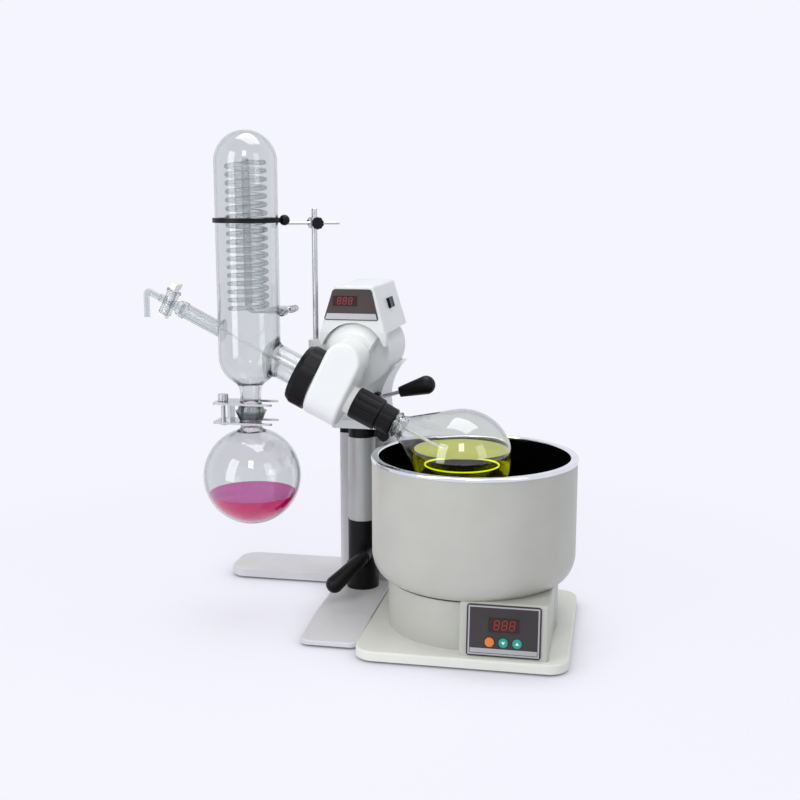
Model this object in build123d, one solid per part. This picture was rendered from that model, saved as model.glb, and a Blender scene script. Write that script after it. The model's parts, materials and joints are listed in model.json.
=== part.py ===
from build123d import *
import os
from math import cos, pi, radians, sin, sqrt, tan

# Rotary evaporator on an L-shaped stand, with a free-standing heating bath.
# Millimetres, +Z up, bench at Z = 0. The front, with the panels, looks along -Y.

# Clearances
SLIP = 0.05          # radial room of a shaft in its bore
ROOM = 0.3           # room between neighbours that move or only meet
BIG = 400.0          # longer than any piece, for blocks that only cut
WALL_GLASS = 2.2

# Heating bath
BATH_GAP = 0.5       # between the bath's base and the stand's long leg
GLASS_Y = -41.0      # plane that holds every glass axis and the bath axis
BATH_WIDTH = 266.0
BATH_DEPTH = 276.0
BATH_PLATE = 12.0
BATH_CORNER = 26.0
BATH_SKIN = 4.0
PEDESTAL_R = 112.0
PEDESTAL_WALL = 3.0
SHELL_R = 133.3
SHELL_BASE_R = 100.0
SHELL_BOTTOM = 77.0
SHELL_ROUND_TOP = 110.0
SHELL_WALL = 2.0
RIM_TOP = 239.0
RIM_HEIGHT = 4.4
RIM_R = 134.6
POT_R = 124.0
POT_FLOOR = 104.0
POT_WALL = 2.0
POT_ROUND = 14.0
HEATER_R = 96.0
HEATER_HEIGHT = 8.0
BOX_WIDTH = 110.0
BOX_FROM_AXIS = -1.0
BOX_FRONT = 129.0
BOX_TOP = 82.0
BOX_LEAN = 9.0
PANEL_WIDTH = 91.0
PANEL_HEIGHT = 64.0
PANEL_THICK = 1.2
WINDOW_WIDTH = 37.0
WINDOW_HEIGHT = 17.0
WINDOW_RISE = 7.5
WINDOW_THICK = 0.8
BUTTON_R = 5.8
BUTTON_PITCH = 16.9
BUTTON_DROP = 14.0
BUTTON_TRAVEL = 1.0
INLET_WIDTH = 28.0
INLET_HEIGHT = 22.0
INLET_LIP = 7.0

# Stand
FOOT_HEIGHT = 3.0
FOOT_R = 9.0
FOOT_INSET = 18.0
BASE_THICK = 13.0
COLUMN_X = -14.0
COLUMN_Y = 59.0
LEG_WIDTH = 78.0
LEG_FRONT = -143.0
LEG_BACK = 179.0
LEG_LOW = 9.0
SIDE_LEG_LEFT = -230.5
SIDE_LEG_DEPTH = 81.0
SOCKET_R = 20.5
SOCKET_FOOT_R = 23.0
SOCKET_FOOT_TOP = 50.0
SOCKET_TOP = 116.0
TUBE_R = 19.8
TUBE_TOP = 236.0
TUBE_SPIGOT = 30.0
CAP_TOP = 250.0
CAP_R = 19.0
CAP_GUIDE = 24.0
SHAFT_R = 14.0
SHAFT_TAIL = 150.0
PILLAR_WIDTH = 80.0
PILLAR_FRONT = 82.5
PILLAR_DEPTH = 58.0
PILLAR_WALL = 3.0
PILLAR_CORNER = 9.0
PILLAR_TOP = 234.0
PILLAR_PLUG = 12.0
PILLAR_GUIDE = 50.0
GUIDE_R = 8.0
GUIDE_TAIL = 150.0

# Locking levers and knob
LIFT_LEVER_Z = 70.0
LIFT_LEVER_X = -4.0
LIFT_LEVER_SWEEP = (-34.0, -32.0, -27.0)
LIFT_HANDLE_R = 11.0
KNOB_R = 8.5
KNOB_REACH = 34.0
KNOB_RISE = 4.5
TILT_LEVER_X = 12.0
TILT_LEVER_Z = 294.0
TILT_LEVER_LENGTH = 84.5
TILT_LEVER_UP = 16.6
TILT_LEVER_R = 2.7
TILT_HUB_R = 8.0
TILT_HUB = 12.0
TILT_STUD = 18.0
TILT_HANDLE_ROOT = 7.2
TILT_HANDLE_R = 13.0
TILT_HANDLE_LENGTH = 51.0
LEVER_STUD_R = 4.0

# Head: motor casing and cover
MOTOR_X = -8.0
MOTOR_Z = 360.5
CASING_R = 45.0
CASING_FRONT = 2.5
CASING_BACK = 126.0
CASING_WALL = 3.0
CASING_ROUND = 10.0
MOTOR_R = 34.0
COVER_BOTTOM = 390.0
COVER_TOP = 452.0
COVER_HALF_LOW = 45.0
COVER_HALF_HIGH = 27.0
COVER_FRONT = -21.0
COVER_BACK = 128.0
COVER_LEAN = 11.0
COVER_WALL = 2.5
EAR_BOTTOM = 374.0
EAR_THICK = 14.0
HEAD_PANEL_LOW = 37.2
HEAD_PANEL_HIGH = 26.1
HEAD_PANEL_HEIGHT = 41.0
HEAD_PANEL_SHIFT = 2.3
HEAD_PANEL_ROUND = 5.0
HEAD_WINDOW_WIDTH = 33.0
HEAD_WINDOW_HEIGHT = 13.2
HEAD_WINDOW_SHIFT = 9.0
HEAD_WINDOW_RISE = 5.0
ROCKER_LENGTH = 36.0
ROCKER_WIDTH = 14.0
ROCKER_Y = 59.0
ROCKER_TURN = 8.0
ROCKER_PIN_R = 1.1
ROCKER_PIN_DEPTH = 1.25
BRACKET_PLATE = 12.0
BRACKET_FRONT = 36.0
BRACKET_HALF = 40.0
BRACKET_NECK_HALF = 25.0
BRACKET_NECK_FRONT = 46.0
BRACKET_NECK_BACK = 128.0
BRACKET_EAR_TOP = 338.0

# Rotary drive. Stations T run along the rotary axis, from the arm's middle towards the flask.
TILT = 26.5
AXIS_DROP = 48.5
ARM_WIDTH = 48.0
DRUM_R = 42.0
DRUM_WALL = 3.5
ARM_COVER = 6.0
ARM_ROUND = 5.0
FLANGE_R = 43.0
FLANGE_THICK = 12.0
FLANGE_CONE = 18.0
PIN_HOLE_R = 3.5
PIN_HOLE_X = 21.5
PIN_HOLE_DROP = 17.0
SPIGOT_R = 24.0
SPIGOT_LENGTH = 18.0
BOSS_R = 33.0
BOSS_LENGTH = 14.0
SLEEVE_R = 17.0
DUCT_R = 12.5
DUCT_WALL = 2.2
BEARING_R = 26.0
BEARING_WIDTH = 9.0
WHEEL_TEETH = 36
WHEEL_MODULE = 2.0
WHEEL_WIDTH = 9.0
WORM_LENGTH = 27.0
BACKLASH = 0.65
WORM_SHAFT_R = 6.0
SEAL_RING_R = 18.5
SEAL_RING_WIDTH = 7.5
FLASK_NUT_R = 21.5
FLASK_NUT_LENGTH = 38.0
NUT_RING_R = 19.0
NUT_RING_LENGTH = 21.0
NUT_RIBS = 12
FLASK_R = 66.0
FLASK_T = 192.0
FLASK_NECK_R = 15.0
FLASK_CONE = 37.0
FLASK_LEVEL = 14.0
UNION_R = 41.5
UNION_LENGTH = 26.0
UNION_FLATS = 8
UNION_FLAT = 24.0

# Condenser and receiver
CONDENSER_T = 127.3
CONDENSER_R = 41.0
CONDENSER_BOTTOM = 319.0
CONDENSER_TOP = 653.0
NECK_R = 21.0
NECK_FLANGE_R = 30.0
FEED_R = 10.0
FEED_T = 231.0
OUTLET_R = 14.0
BALL_Z = 286.0
BALL_R = 17.5
BALL_CUT = 13.0
NOZZLE_R = 4.8
NOZZLE_STEP = 10.0
NOZZLE_REACH = 20.0
NOZZLE_BEND = 7.0
COIL_R = 24.5
COIL_TUBE_R = 3.0
COIL_BOTTOM = 420.0
COIL_TOP = 612.0
COIL_PITCH = 10.8
RETURN_R = 5.0
RECEIVER_R = 65.5
RECEIVER_Z = 196.6
RECEIVER_LEVEL = -23.0
SHOULDER_RISE = 42.0
CUP_R = 21.0
CUP_HEIGHT = 16.0
STOPCOCK_T = 251.0
STOPCOCK_R = 9.0
STOPCOCK_LENGTH = 34.0
KEY_R = 5.0
SPOUT_R = 4.5
SPOUT_REACH = 20.5
SPOUT_DROP = 36.0
SPOUT_BEND = 9.0
FEED_TUBE_R = 2.0
FEED_SHORT = 8.0

# Condenser support
CLAMP_Z = 538.0
CLAMP_HEIGHT = 6.0
CLAMP_BAND = 3.0
CLAMP_BALL_R = 7.0
BAR_ANGLE = 22.0
BAR_DROP = 4.0
BAR_R = 2.0
BAR_REACH = 122.0
ROD_ALONG = 90.9
ROD_BESIDE = 19.4
ROD_R = 3.75
ROD_BOTTOM = 366.0
ROD_TOP = 553.0
BOSS_HALF = 7.0
BOSS_MARGIN = 5.0
SCREW_R = 3.0
SCREW_KNOB_R = 8.0
FORK_PLATE = 2.5
FORK_HALF = 20.0
FORK_RIGHT = 34.0
FORK_LEFT = 48.0

# Places that follow from the sizes above
FLOOR = FOOT_HEIGHT
BASE_TOP = FOOT_HEIGHT + BASE_THICK
BATH_TOP = FOOT_HEIGHT + BATH_PLATE
SLOPE = radians(TILT)
ALONG = (cos(SLOPE), 0, -sin(SLOPE))
ACROSS = (sin(SLOPE), 0, cos(SLOPE))
AXIS_X = MOTOR_X - AXIS_DROP * ACROSS[0]
AXIS_Z = MOTOR_Z - AXIS_DROP * ACROSS[2]
ROTARY = Plane(origin=(AXIS_X, GLASS_Y, AXIS_Z), x_dir=ACROSS, z_dir=ALONG)
MOTOR = Plane(origin=(MOTOR_X, 0, MOTOR_Z), x_dir=(1, 0, 0), z_dir=(0, 1, 0))
CONDENSER_X = AXIS_X - CONDENSER_T * ALONG[0]
CONDENSER = Pos(CONDENSER_X, GLASS_Y, 0)
CLAMP = Pos(CONDENSER_X, GLASS_Y, CLAMP_Z) * Rot(0, 0, BAR_ANGLE)
BAR = CLAMP * Pos(0, 0, -BAR_DROP)
BALL_REACH = CONDENSER_R + ROOM + CLAMP_BAND + CLAMP_BALL_R * 0.7
BATH_X = COLUMN_X + LEG_WIDTH / 2 + BATH_GAP + BATH_WIDTH / 2
BATH = Pos(BATH_X, GLASS_Y, 0)
COLUMN = Pos(COLUMN_X, COLUMN_Y, 0)
PILLAR_Y = PILLAR_FRONT + PILLAR_DEPTH / 2
WHEEL_PITCH_R = WHEEL_TEETH * WHEEL_MODULE / 2
WORM_PITCH_R = AXIS_DROP - WHEEL_PITCH_R
ARM_END = ARM_WIDTH / 2
SEAL_T = ARM_END + ROOM
NUT_T = SEAL_T + SEAL_RING_WIDTH + ROOM
NUT_STEP_T = NUT_T + FLASK_NUT_LENGTH
NUT_END_T = NUT_STEP_T + NUT_RING_LENGTH
MOUTH_T = NUT_END_T - 13.0
UNION_T = -ARM_END - UNION_LENGTH - 2.0
NECK_T = -ARM_END - BOSS_LENGTH - ROOM


def post(radius, height, bottom=0.0):
    """Upright cylinder that stands on the height bottom."""
    return Pos(0, 0, bottom) * Cylinder(radius, height, align=(Align.CENTER, Align.CENTER, Align.MIN))


def pipe(outer, inner, height, bottom=0.0):
    """Upright tube."""
    return post(outer, height, bottom) - post(inner, height, bottom)


def slab(width, depth, height, bottom=0.0):
    """Upright block on the height bottom, centred in plan."""
    return Pos(0, 0, bottom) * Box(width, depth, height, align=(Align.CENTER, Align.CENTER, Align.MIN))


def rounded_slab(width, depth, height, corner, bottom=0.0):
    """Upright block with rounded corners in plan."""
    return Pos(0, 0, bottom) * extrude(RectangleRounded(width, depth, corner), height)


def turned(*pieces):
    """Solid of revolution about Z of an outline drawn as (radius, height)."""
    return revolve(Plane.XZ * make_face(Curve() + list(pieces)), Axis.Z)


def turned_points(*points):
    """Solid of revolution about Z of a straight-sided outline."""
    return turned(Polyline(*points, close=True))


def ball_end(radius, bottom, top):
    """Cylinder about Z with hemispherical ends."""
    return turned(
        CenterArc((0, bottom + radius), radius, -90, 90),
        Line((radius, bottom + radius), (radius, top - radius)),
        CenterArc((0, top - radius), radius, 0, 90),
        Line((0, top), (0, bottom)),
    )


def pear(ball, neck, mouth):
    """Pear-shaped solid about Z: a neck from the height mouth, a cone and a tangent ball at FLASK_T."""
    slope = radians(FLASK_CONE)
    touch = (ball * cos(slope), FLASK_T - ball * sin(slope))
    shoulder = (neck, touch[1] - (touch[0] - neck) / tan(slope))
    low = (0, FLASK_T + ball)
    middle = (ball * cos(radians(20)), FLASK_T + ball * sin(radians(20)))
    return turned(
        Polyline((0, mouth), (neck, mouth), shoulder, touch),
        ThreePointArc(touch, middle, low),
        Line(low, (0, mouth)),
    )


def knurled_knob(radius, height, bottom, grips=10):
    """Round knob about Z with finger grooves down its side."""
    knob = post(radius, height, bottom)
    knob = fillet(knob.edges().filter_by(GeomType.CIRCLE), height * 0.12)
    groove = Pos(radius + 0.6, 0, 0) * post(1.4, height, bottom)
    return knob - PolarLocations(0, grips) * groove


def toward(start, end):
    """Plane at start whose Z axis points to end."""
    return Plane(origin=start, z_dir=Vector(*end) - Vector(*start))


# Stand

def stand_base():
    leg_left = COLUMN_X - LEG_WIDTH / 2
    leg_right = COLUMN_X + LEG_WIDTH / 2
    side_front = LEG_BACK - SIDE_LEG_DEPTH
    plan = Polyline(
        (leg_left, LEG_FRONT), (leg_right, LEG_FRONT), (leg_right, LEG_BACK), (SIDE_LEG_LEFT, LEG_BACK),
        (SIDE_LEG_LEFT, side_front), (leg_left, side_front), close=True,
    )
    plan = make_face(plan)
    ends = plan.vertices().sort_by(Axis.X)
    plan = fillet(ends[:2], SIDE_LEG_DEPTH * 0.3)
    plan = fillet(plan.vertices().sort_by(Axis.Y)[:2], LEG_WIDTH * 0.16)
    plan = fillet(plan.vertices().group_by(Axis.X)[-1].sort_by(Axis.Y)[-1], LEG_WIDTH * 0.16)
    base = Pos(0, 0, FLOOR) * extrude(plan, BASE_THICK)
    toe = Plane.YZ * make_face(Polyline(
        (LEG_FRONT, LEG_LOW), (LEG_FRONT, BASE_TOP), (LEG_FRONT + LEG_WIDTH * 1.1, BASE_TOP), close=True))
    base -= Pos(COLUMN_X, 0, 0) * extrude(toe, LEG_WIDTH, both=True)
    rim = base.faces().filter_by(Axis.Z, reverse=True).edges().filter_by(
        lambda edge: edge.center().Z > FLOOR + 1).filter_by(Axis.Z, reverse=True)
    return fillet(rim, 2.0)


def bath_foot_spots():
    """Places of the bath's feet from its axis."""
    half_width = BATH_WIDTH / 2 - BATH_CORNER
    half_depth = BATH_DEPTH / 2 - BATH_CORNER
    return [(side * half_width, end * half_depth) for side in (-1, 1) for end in (-1, 1)]


def rubber_feet():
    side_y = LEG_BACK - SIDE_LEG_DEPTH / 2
    spots = [
        (SIDE_LEG_LEFT + FOOT_INSET, side_y), (COLUMN_X, LEG_FRONT + FOOT_INSET),
        (COLUMN_X - LEG_WIDTH / 2 + FOOT_INSET, LEG_BACK - FOOT_INSET),
        (COLUMN_X + LEG_WIDTH / 2 - FOOT_INSET, LEG_BACK - FOOT_INSET),
    ]
    spots += [(BATH_X + x, GLASS_Y + y) for x, y in bath_foot_spots()]
    foot = post(FOOT_R, FOOT_HEIGHT)
    foot = chamfer(foot.edges().group_by(Axis.Z)[0], FOOT_HEIGHT * 0.3)
    return Compound(children=[Pos(x, y, 0) * foot for x, y in spots])


def column_socket():
    shell = turned_points(
        (0, BASE_TOP), (SOCKET_FOOT_R, BASE_TOP), (SOCKET_FOOT_R, SOCKET_FOOT_TOP),
        (SOCKET_R, SOCKET_FOOT_TOP + 4), (SOCKET_R, SOCKET_TOP), (0, SOCKET_TOP))
    boss = Pos(LIFT_LEVER_X - COLUMN_X, 0, LIFT_LEVER_Z) * Rot(90, 0, 0) * post(9, SOCKET_FOOT_R + 5)
    bore = post(TUBE_R - 1.8 + SLIP, SOCKET_TOP, SOCKET_TOP - TUBE_SPIGOT)
    well = post(SHAFT_R + 1.5, SOCKET_TOP, BASE_TOP + 6)
    stud = Pos(LIFT_LEVER_X - COLUMN_X, 0, LIFT_LEVER_Z) * Rot(90, 0, 0) * post(LEVER_STUD_R + SLIP, SOCKET_FOOT_R + 6)
    return COLUMN * (shell + boss - bore - well - stud)


def column_tube():
    spigot = post(TUBE_R - 1.8, TUBE_SPIGOT, SOCKET_TOP - TUBE_SPIGOT)
    tube = post(TUBE_R, TUBE_TOP - SOCKET_TOP, SOCKET_TOP) + spigot
    return COLUMN * (tube - post(SHAFT_R + 1.5, TUBE_TOP, SOCKET_TOP - TUBE_SPIGOT))


def column_cap():
    cap = post(CAP_R, CAP_TOP - TUBE_TOP, TUBE_TOP)
    cap = fillet(cap.edges().group_by(Axis.Z)[-1], 2.0)
    middle = TUBE_TOP + KNOB_RISE
    ear = Pos(KNOB_REACH / 2, 0, middle) * Box(KNOB_REACH, 10, 2 * KNOB_RISE - 2 * ROOM)
    ear += Pos(KNOB_REACH, 0, middle) * Rot(90, 0, 0) * Cylinder(6, 10)
    guide = post(SHAFT_R + 1.4, CAP_GUIDE, TUBE_TOP - CAP_GUIDE)
    screw = Pos(KNOB_REACH, 0, middle) * Rot(90, 0, 0) * Cylinder(3 + SLIP, 11)
    return COLUMN * (cap + ear + guide - post(SHAFT_R + SLIP, CAP_TOP, TUBE_TOP - CAP_GUIDE) - screw)


def rear_pillar():
    height = PILLAR_TOP - BASE_TOP
    outer = rounded_slab(PILLAR_WIDTH, PILLAR_DEPTH, height, PILLAR_CORNER, BASE_TOP)
    inner = rounded_slab(
        PILLAR_WIDTH - 2 * PILLAR_WALL, PILLAR_DEPTH - 2 * PILLAR_WALL, height,
        PILLAR_CORNER - PILLAR_WALL, BASE_TOP)
    return Pos(COLUMN_X, PILLAR_Y, 0) * (outer - inner)


def rear_pillar_cap():
    cap = rounded_slab(PILLAR_WIDTH, PILLAR_DEPTH, CAP_TOP - PILLAR_TOP, PILLAR_CORNER, PILLAR_TOP)
    cap = fillet(cap.edges().group_by(Axis.Z)[-1], 2.5)
    plug = rounded_slab(
        PILLAR_WIDTH - 2 * PILLAR_WALL - 2 * SLIP, PILLAR_DEPTH - 2 * PILLAR_WALL - 2 * SLIP,
        PILLAR_PLUG, PILLAR_CORNER - PILLAR_WALL, PILLAR_TOP - PILLAR_PLUG)
    guide = post(GUIDE_R + 4, PILLAR_GUIDE, PILLAR_TOP - PILLAR_GUIDE)
    return Pos(COLUMN_X, PILLAR_Y, 0) * (cap + plug + guide - post(GUIDE_R + SLIP, CAP_TOP))


def lift_lock_lever():
    """Clamp lever: a hub on a stud and a tapered handle that leans out and down."""
    hub_y = COLUMN_Y - SOCKET_FOOT_R - 5 - ROOM
    hub = Pos(LIFT_LEVER_X, hub_y, LIFT_LEVER_Z) * Rot(90, 0, 0) * post(9, 13)
    stud = Pos(LIFT_LEVER_X, hub_y, LIFT_LEVER_Z) * Rot(-90, 0, 0) * post(LEVER_STUD_R, SOCKET_FOOT_R)
    root = (LIFT_LEVER_X, hub_y - 7, LIFT_LEVER_Z)
    end = tuple(a + b for a, b in zip(root, LIFT_LEVER_SWEEP))
    length = sqrt(sum(step * step for step in LIFT_LEVER_SWEEP))
    handle = turned(
        Polyline((0, 0), (6, 0), (LIFT_HANDLE_R, length)),
        CenterArc((0, length), LIFT_HANDLE_R, 0, 90),
        Line((0, length + LIFT_HANDLE_R), (0, 0)),
    )
    return hub + stud + toward(root, end) * handle


def lift_lock_knob():
    middle = TUBE_TOP + KNOB_RISE
    screw = post(3, 12, -9)
    knob = screw + knurled_knob(KNOB_R, 11, 1.5)
    return Pos(COLUMN_X + KNOB_REACH, COLUMN_Y - 5 - ROOM, middle) * Rot(90, 0, 0) * knob


# Lifting head

def lift_shaft():
    bottom = CAP_TOP - SHAFT_TAIL
    return COLUMN * post(SHAFT_R, CAP_TOP + BRACKET_PLATE - 1 - bottom, bottom)


def guide_rod():
    bottom = CAP_TOP - GUIDE_TAIL
    return Pos(COLUMN_X, PILLAR_Y, 0) * post(GUIDE_R, CAP_TOP + BRACKET_PLATE - 1 - bottom, bottom)


def head_bracket():
    """Cast bracket: foot plate on the shaft and guide rod, waisted neck and a cradle for the casing."""
    bottom = CAP_TOP + ROOM
    back = PILLAR_FRONT + PILLAR_DEPTH
    plate = Pos(COLUMN_X, (BRACKET_FRONT + back) / 2, 0) * rounded_slab(
        2 * BRACKET_HALF, back - BRACKET_FRONT, BRACKET_PLATE, 10, bottom)
    top = bottom + BRACKET_PLATE
    low = [(COLUMN_X + side * BRACKET_HALF * 0.8, top) for side in (-1, 1)]
    waist = [(MOTOR_X + side * BRACKET_NECK_HALF, (top + BRACKET_EAR_TOP) / 2) for side in (-1, 1)]
    ears = [(MOTOR_X + side * (CASING_R + 1), BRACKET_EAR_TOP) for side in (-1, 1)]
    outline = make_face(
        Curve() + [
            Line(low[0], low[1]),
            Spline(low[1], waist[1], ears[1]),
            Line(ears[1], ears[0]),
            Spline(ears[0], waist[0], low[0]),
        ])
    neck = Pos(0, BRACKET_NECK_BACK, 0) * extrude(Plane.XZ * outline, BRACKET_NECK_BACK - BRACKET_NECK_FRONT)
    cradle = MOTOR * post(CASING_R + SLIP, CASING_BACK - CASING_FRONT, CASING_FRONT)
    stud = Pos(TILT_LEVER_X, BRACKET_NECK_FRONT, TILT_LEVER_Z) * Rot(90, 0, 0) * Cylinder(
        LEVER_STUD_R + SLIP, 2 * TILT_STUD + ROOM)
    bores = COLUMN * post(SHAFT_R + SLIP, BRACKET_PLATE - 1, bottom)
    bores += Pos(COLUMN_X, PILLAR_Y, 0) * post(GUIDE_R + SLIP, BRACKET_PLATE - 1, bottom)
    return plate + neck - cradle - stud - bores


def tilt_lock_lever():
    """Clamp lever with a club-shaped handle on a thin arm, on a stud in front of the bracket's neck."""
    hub_y = BRACKET_NECK_FRONT - ROOM
    hub = Pos(TILT_LEVER_X, hub_y, TILT_LEVER_Z) * Rot(90, 0, 0) * post(TILT_HUB_R, TILT_HUB)
    stud = Pos(TILT_LEVER_X, hub_y, TILT_LEVER_Z) * Rot(-90, 0, 0) * post(LEVER_STUD_R, TILT_STUD)
    lean = radians(TILT_LEVER_UP)
    root = Vector(TILT_LEVER_X, hub_y - TILT_HUB / 2, TILT_LEVER_Z)
    end = root + Vector(cos(lean), 0, sin(lean))
    foot = TILT_LEVER_LENGTH - TILT_HANDLE_LENGTH
    wide = TILT_LEVER_LENGTH - TILT_HANDLE_R
    handle = turned(
        Polyline((0, foot), (TILT_HANDLE_ROOT, foot), (TILT_HANDLE_R, wide)),
        CenterArc((0, wide), TILT_HANDLE_R, 0, 90),
        Line((0, TILT_LEVER_LENGTH), (0, foot)),
    )
    return hub + stud + toward(root, end) * (post(TILT_LEVER_R, wide) + handle)


def motor_casing():
    outer = post(CASING_R, CASING_BACK - CASING_FRONT, CASING_FRONT)
    outer = fillet(outer.edges().group_by(Axis.Z)[-1], CASING_ROUND)
    room = CASING_BACK - CASING_FRONT - 2 * CASING_WALL
    inner = post(CASING_R - CASING_WALL, room, CASING_FRONT + CASING_WALL)
    return MOTOR * (outer - inner - post(SPIGOT_R + SLIP, CASING_WALL, CASING_FRONT))


def drive_motor():
    """Geared motor: stator can with a mounting flange and a rear bearing cap, bored for its shaft."""
    front = CASING_FRONT + SPIGOT_LENGTH + 6
    back = CASING_BACK - CASING_ROUND - 4
    motor = turned_points(
        (0, front), (CASING_R - CASING_WALL - SLIP, front), (CASING_R - CASING_WALL - SLIP, front + 5),
        (MOTOR_R, front + 5), (MOTOR_R, back - 6), (MOTOR_R - 6, back), (0, back))
    return MOTOR * (motor - post(WORM_SHAFT_R + SLIP, back - 8 - front, front))


def cover_prism(inset):
    """Tapered body of the head cover, made smaller by inset on every side."""
    low = COVER_HALF_LOW - inset
    high = COVER_HALF_HIGH - inset
    front = COVER_FRONT + inset
    back = COVER_BACK - inset
    top = COVER_TOP - inset
    across = Plane.XZ * make_face(Polyline(
        (MOTOR_X - low, COVER_BOTTOM), (MOTOR_X + low, COVER_BOTTOM), (MOTOR_X + high, top),
        (MOTOR_X - high, top), close=True))
    side = Plane.YZ * make_face(Polyline(
        (front, COVER_BOTTOM), (back, COVER_BOTTOM), (back - COVER_LEAN * 0.4, top),
        (front + COVER_LEAN, top), close=True))
    length = COVER_BACK - COVER_FRONT
    return extrude(across, length, both=True) & Pos(MOTOR_X, 0, 0) * extrude(side, length, both=True)


def head_panel_plane():
    """Plane of the cover's sloping front, at the middle of its panel, facing out."""
    rise = COVER_TOP - COVER_BOTTOM
    middle = COVER_TOP - HEAD_PANEL_HEIGHT / 2 - 4
    depth = COVER_FRONT + COVER_LEAN * (middle - COVER_BOTTOM) / rise
    centre = MOTOR_X - HEAD_PANEL_SHIFT
    return Plane(origin=(centre, depth, middle), x_dir=(1, 0, 0), z_dir=(0, -rise, COVER_LEAN))


def rocker_plane():
    """Plane of the rocker's pin inside the cover's right flank, X along the flank's length, facing out."""
    rise = COVER_TOP - COVER_BOTTOM
    run = COVER_HALF_LOW - COVER_HALF_HIGH
    middle = (COVER_BOTTOM + COVER_TOP) / 2 + 4
    reach = COVER_HALF_LOW - run * (middle - COVER_BOTTOM) / rise
    flank = Plane(origin=(MOTOR_X + reach, ROCKER_Y, middle), x_dir=(0, 1, 0), z_dir=(rise, 0, run))
    return flank.offset(-ROCKER_PIN_DEPTH)


def head_cover():
    body = cover_prism(0)
    body = fillet(body.edges().filter_by(lambda edge: edge.center().Z > COVER_BOTTOM + 1), 4.0)
    body -= cover_prism(COVER_WALL) & slab(BIG, BIG, BIG, MOTOR_Z + CASING_R + COVER_WALL)
    ears = Pos(MOTOR_X, COVER_FRONT, EAR_BOTTOM) * Box(
        2 * COVER_HALF_LOW, EAR_THICK, COVER_BOTTOM + 2 - EAR_BOTTOM, align=(Align.CENTER, Align.MIN, Align.MIN))
    body += ears
    body -= MOTOR * post(CASING_R + SLIP, COVER_BACK * 2, CASING_FRONT)
    body -= MOTOR * post(FLANGE_R + 2 * ROOM, CASING_FRONT - COVER_FRONT + 1, COVER_FRONT - 1)
    hole = Box(ROCKER_LENGTH + 4 * ROOM, ROCKER_WIDTH + 2 * ROOM, 30)
    pin = Rot(90, 0, 0) * Cylinder(ROCKER_PIN_R, ROCKER_WIDTH + 4 * COVER_WALL)
    return body - rocker_plane() * hole + rocker_plane() * pin


def head_panel():
    plan = make_face(Polyline(
        (-HEAD_PANEL_LOW, -HEAD_PANEL_HEIGHT / 2), (HEAD_PANEL_LOW, -HEAD_PANEL_HEIGHT / 2),
        (HEAD_PANEL_HIGH, HEAD_PANEL_HEIGHT / 2), (-HEAD_PANEL_HIGH, HEAD_PANEL_HEIGHT / 2), close=True))
    corners = plan.vertices().group_by(Axis.Y)
    plan = fillet(corners[-1], HEAD_PANEL_ROUND)
    plan = fillet(plan.vertices().group_by(Axis.Y)[0], HEAD_PANEL_ROUND / 2)
    return head_panel_plane() * extrude(plan, PANEL_THICK)


def head_display():
    window = extrude(RectangleRounded(HEAD_WINDOW_WIDTH, HEAD_WINDOW_HEIGHT, 1.2), WINDOW_THICK)
    return head_panel_plane() * Pos(-HEAD_WINDOW_SHIFT, HEAD_WINDOW_RISE, PANEL_THICK) * window


def rocker_switch():
    """Rocker paddle with a hollow face, bored for the pin that it tips on."""
    half = ROCKER_LENGTH / 2
    top = ROCKER_PIN_DEPTH + 2.6
    low = ROCKER_PIN_DEPTH - 5
    profile = make_face(
        Curve() + [
            Polyline((-half + 1.2, low), (half - 1.2, low), (half, top)),
            ThreePointArc((half, top), (0, top - 2), (-half, top)),
            Line((-half, top), (-half + 1.2, low)),
        ])
    paddle = Pos(0, ROCKER_WIDTH / 2, 0) * extrude(Plane.XZ * profile, ROCKER_WIDTH)
    paddle -= Rot(90, 0, 0) * Cylinder(ROCKER_PIN_R + SLIP, 2 * ROCKER_WIDTH)
    return rocker_plane() * Rot(0, ROCKER_TURN / 2, 0) * paddle


def socket_inlet():
    """Mains inlet facing +Y: a flanged shell with a recess and three flat pins."""
    flange = extrude(RectangleRounded(INLET_WIDTH + INLET_LIP, INLET_HEIGHT + INLET_LIP, 3), 2)
    shell = Pos(0, 0, -14) * extrude(RectangleRounded(INLET_WIDTH, INLET_HEIGHT, 3), 14)
    recess = Pos(0, 0, -12) * extrude(RectangleRounded(INLET_WIDTH - 4, INLET_HEIGHT - 4, 2), 20)
    inlet = flange + shell - recess
    for x, y in ((-7, -2), (7, -2), (0, 3)):
        inlet += Pos(x, y, -7) * Box(2, 4, 10)
    return inlet


# Arm and rotary drive

def arm_outer():
    """Arm's outside: a drum on the rotary axis whose flat front rises to a round end on the motor axis."""
    drum = post(DRUM_R, ARM_WIDTH, -ARM_END)
    rise = Pos((AXIS_DROP + ARM_END) / 2, 0, 0) * Box(AXIS_DROP + ARM_END, 2 * DRUM_R, ARM_WIDTH)
    front_view = Pos(AXIS_DROP, 0, 0) * Rot(90, 0, 0) * Cylinder(ARM_END, 4 * DRUM_R)
    front_view += Pos(AXIS_DROP - BIG / 2, 0, 0) * Box(BIG, 4 * DRUM_R, ARM_WIDTH)
    front = Pos(0, DRUM_R, 0) * Box(BIG, 2.9 * DRUM_R, BIG)
    body = ((drum + rise) & front_view) & (front + post(DRUM_R, ARM_WIDTH, -ARM_END))
    ends = body.faces().sort_by(Axis.Z)
    return fillet(ends[0].edges() + ends[-1].edges(), ARM_ROUND)


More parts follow.
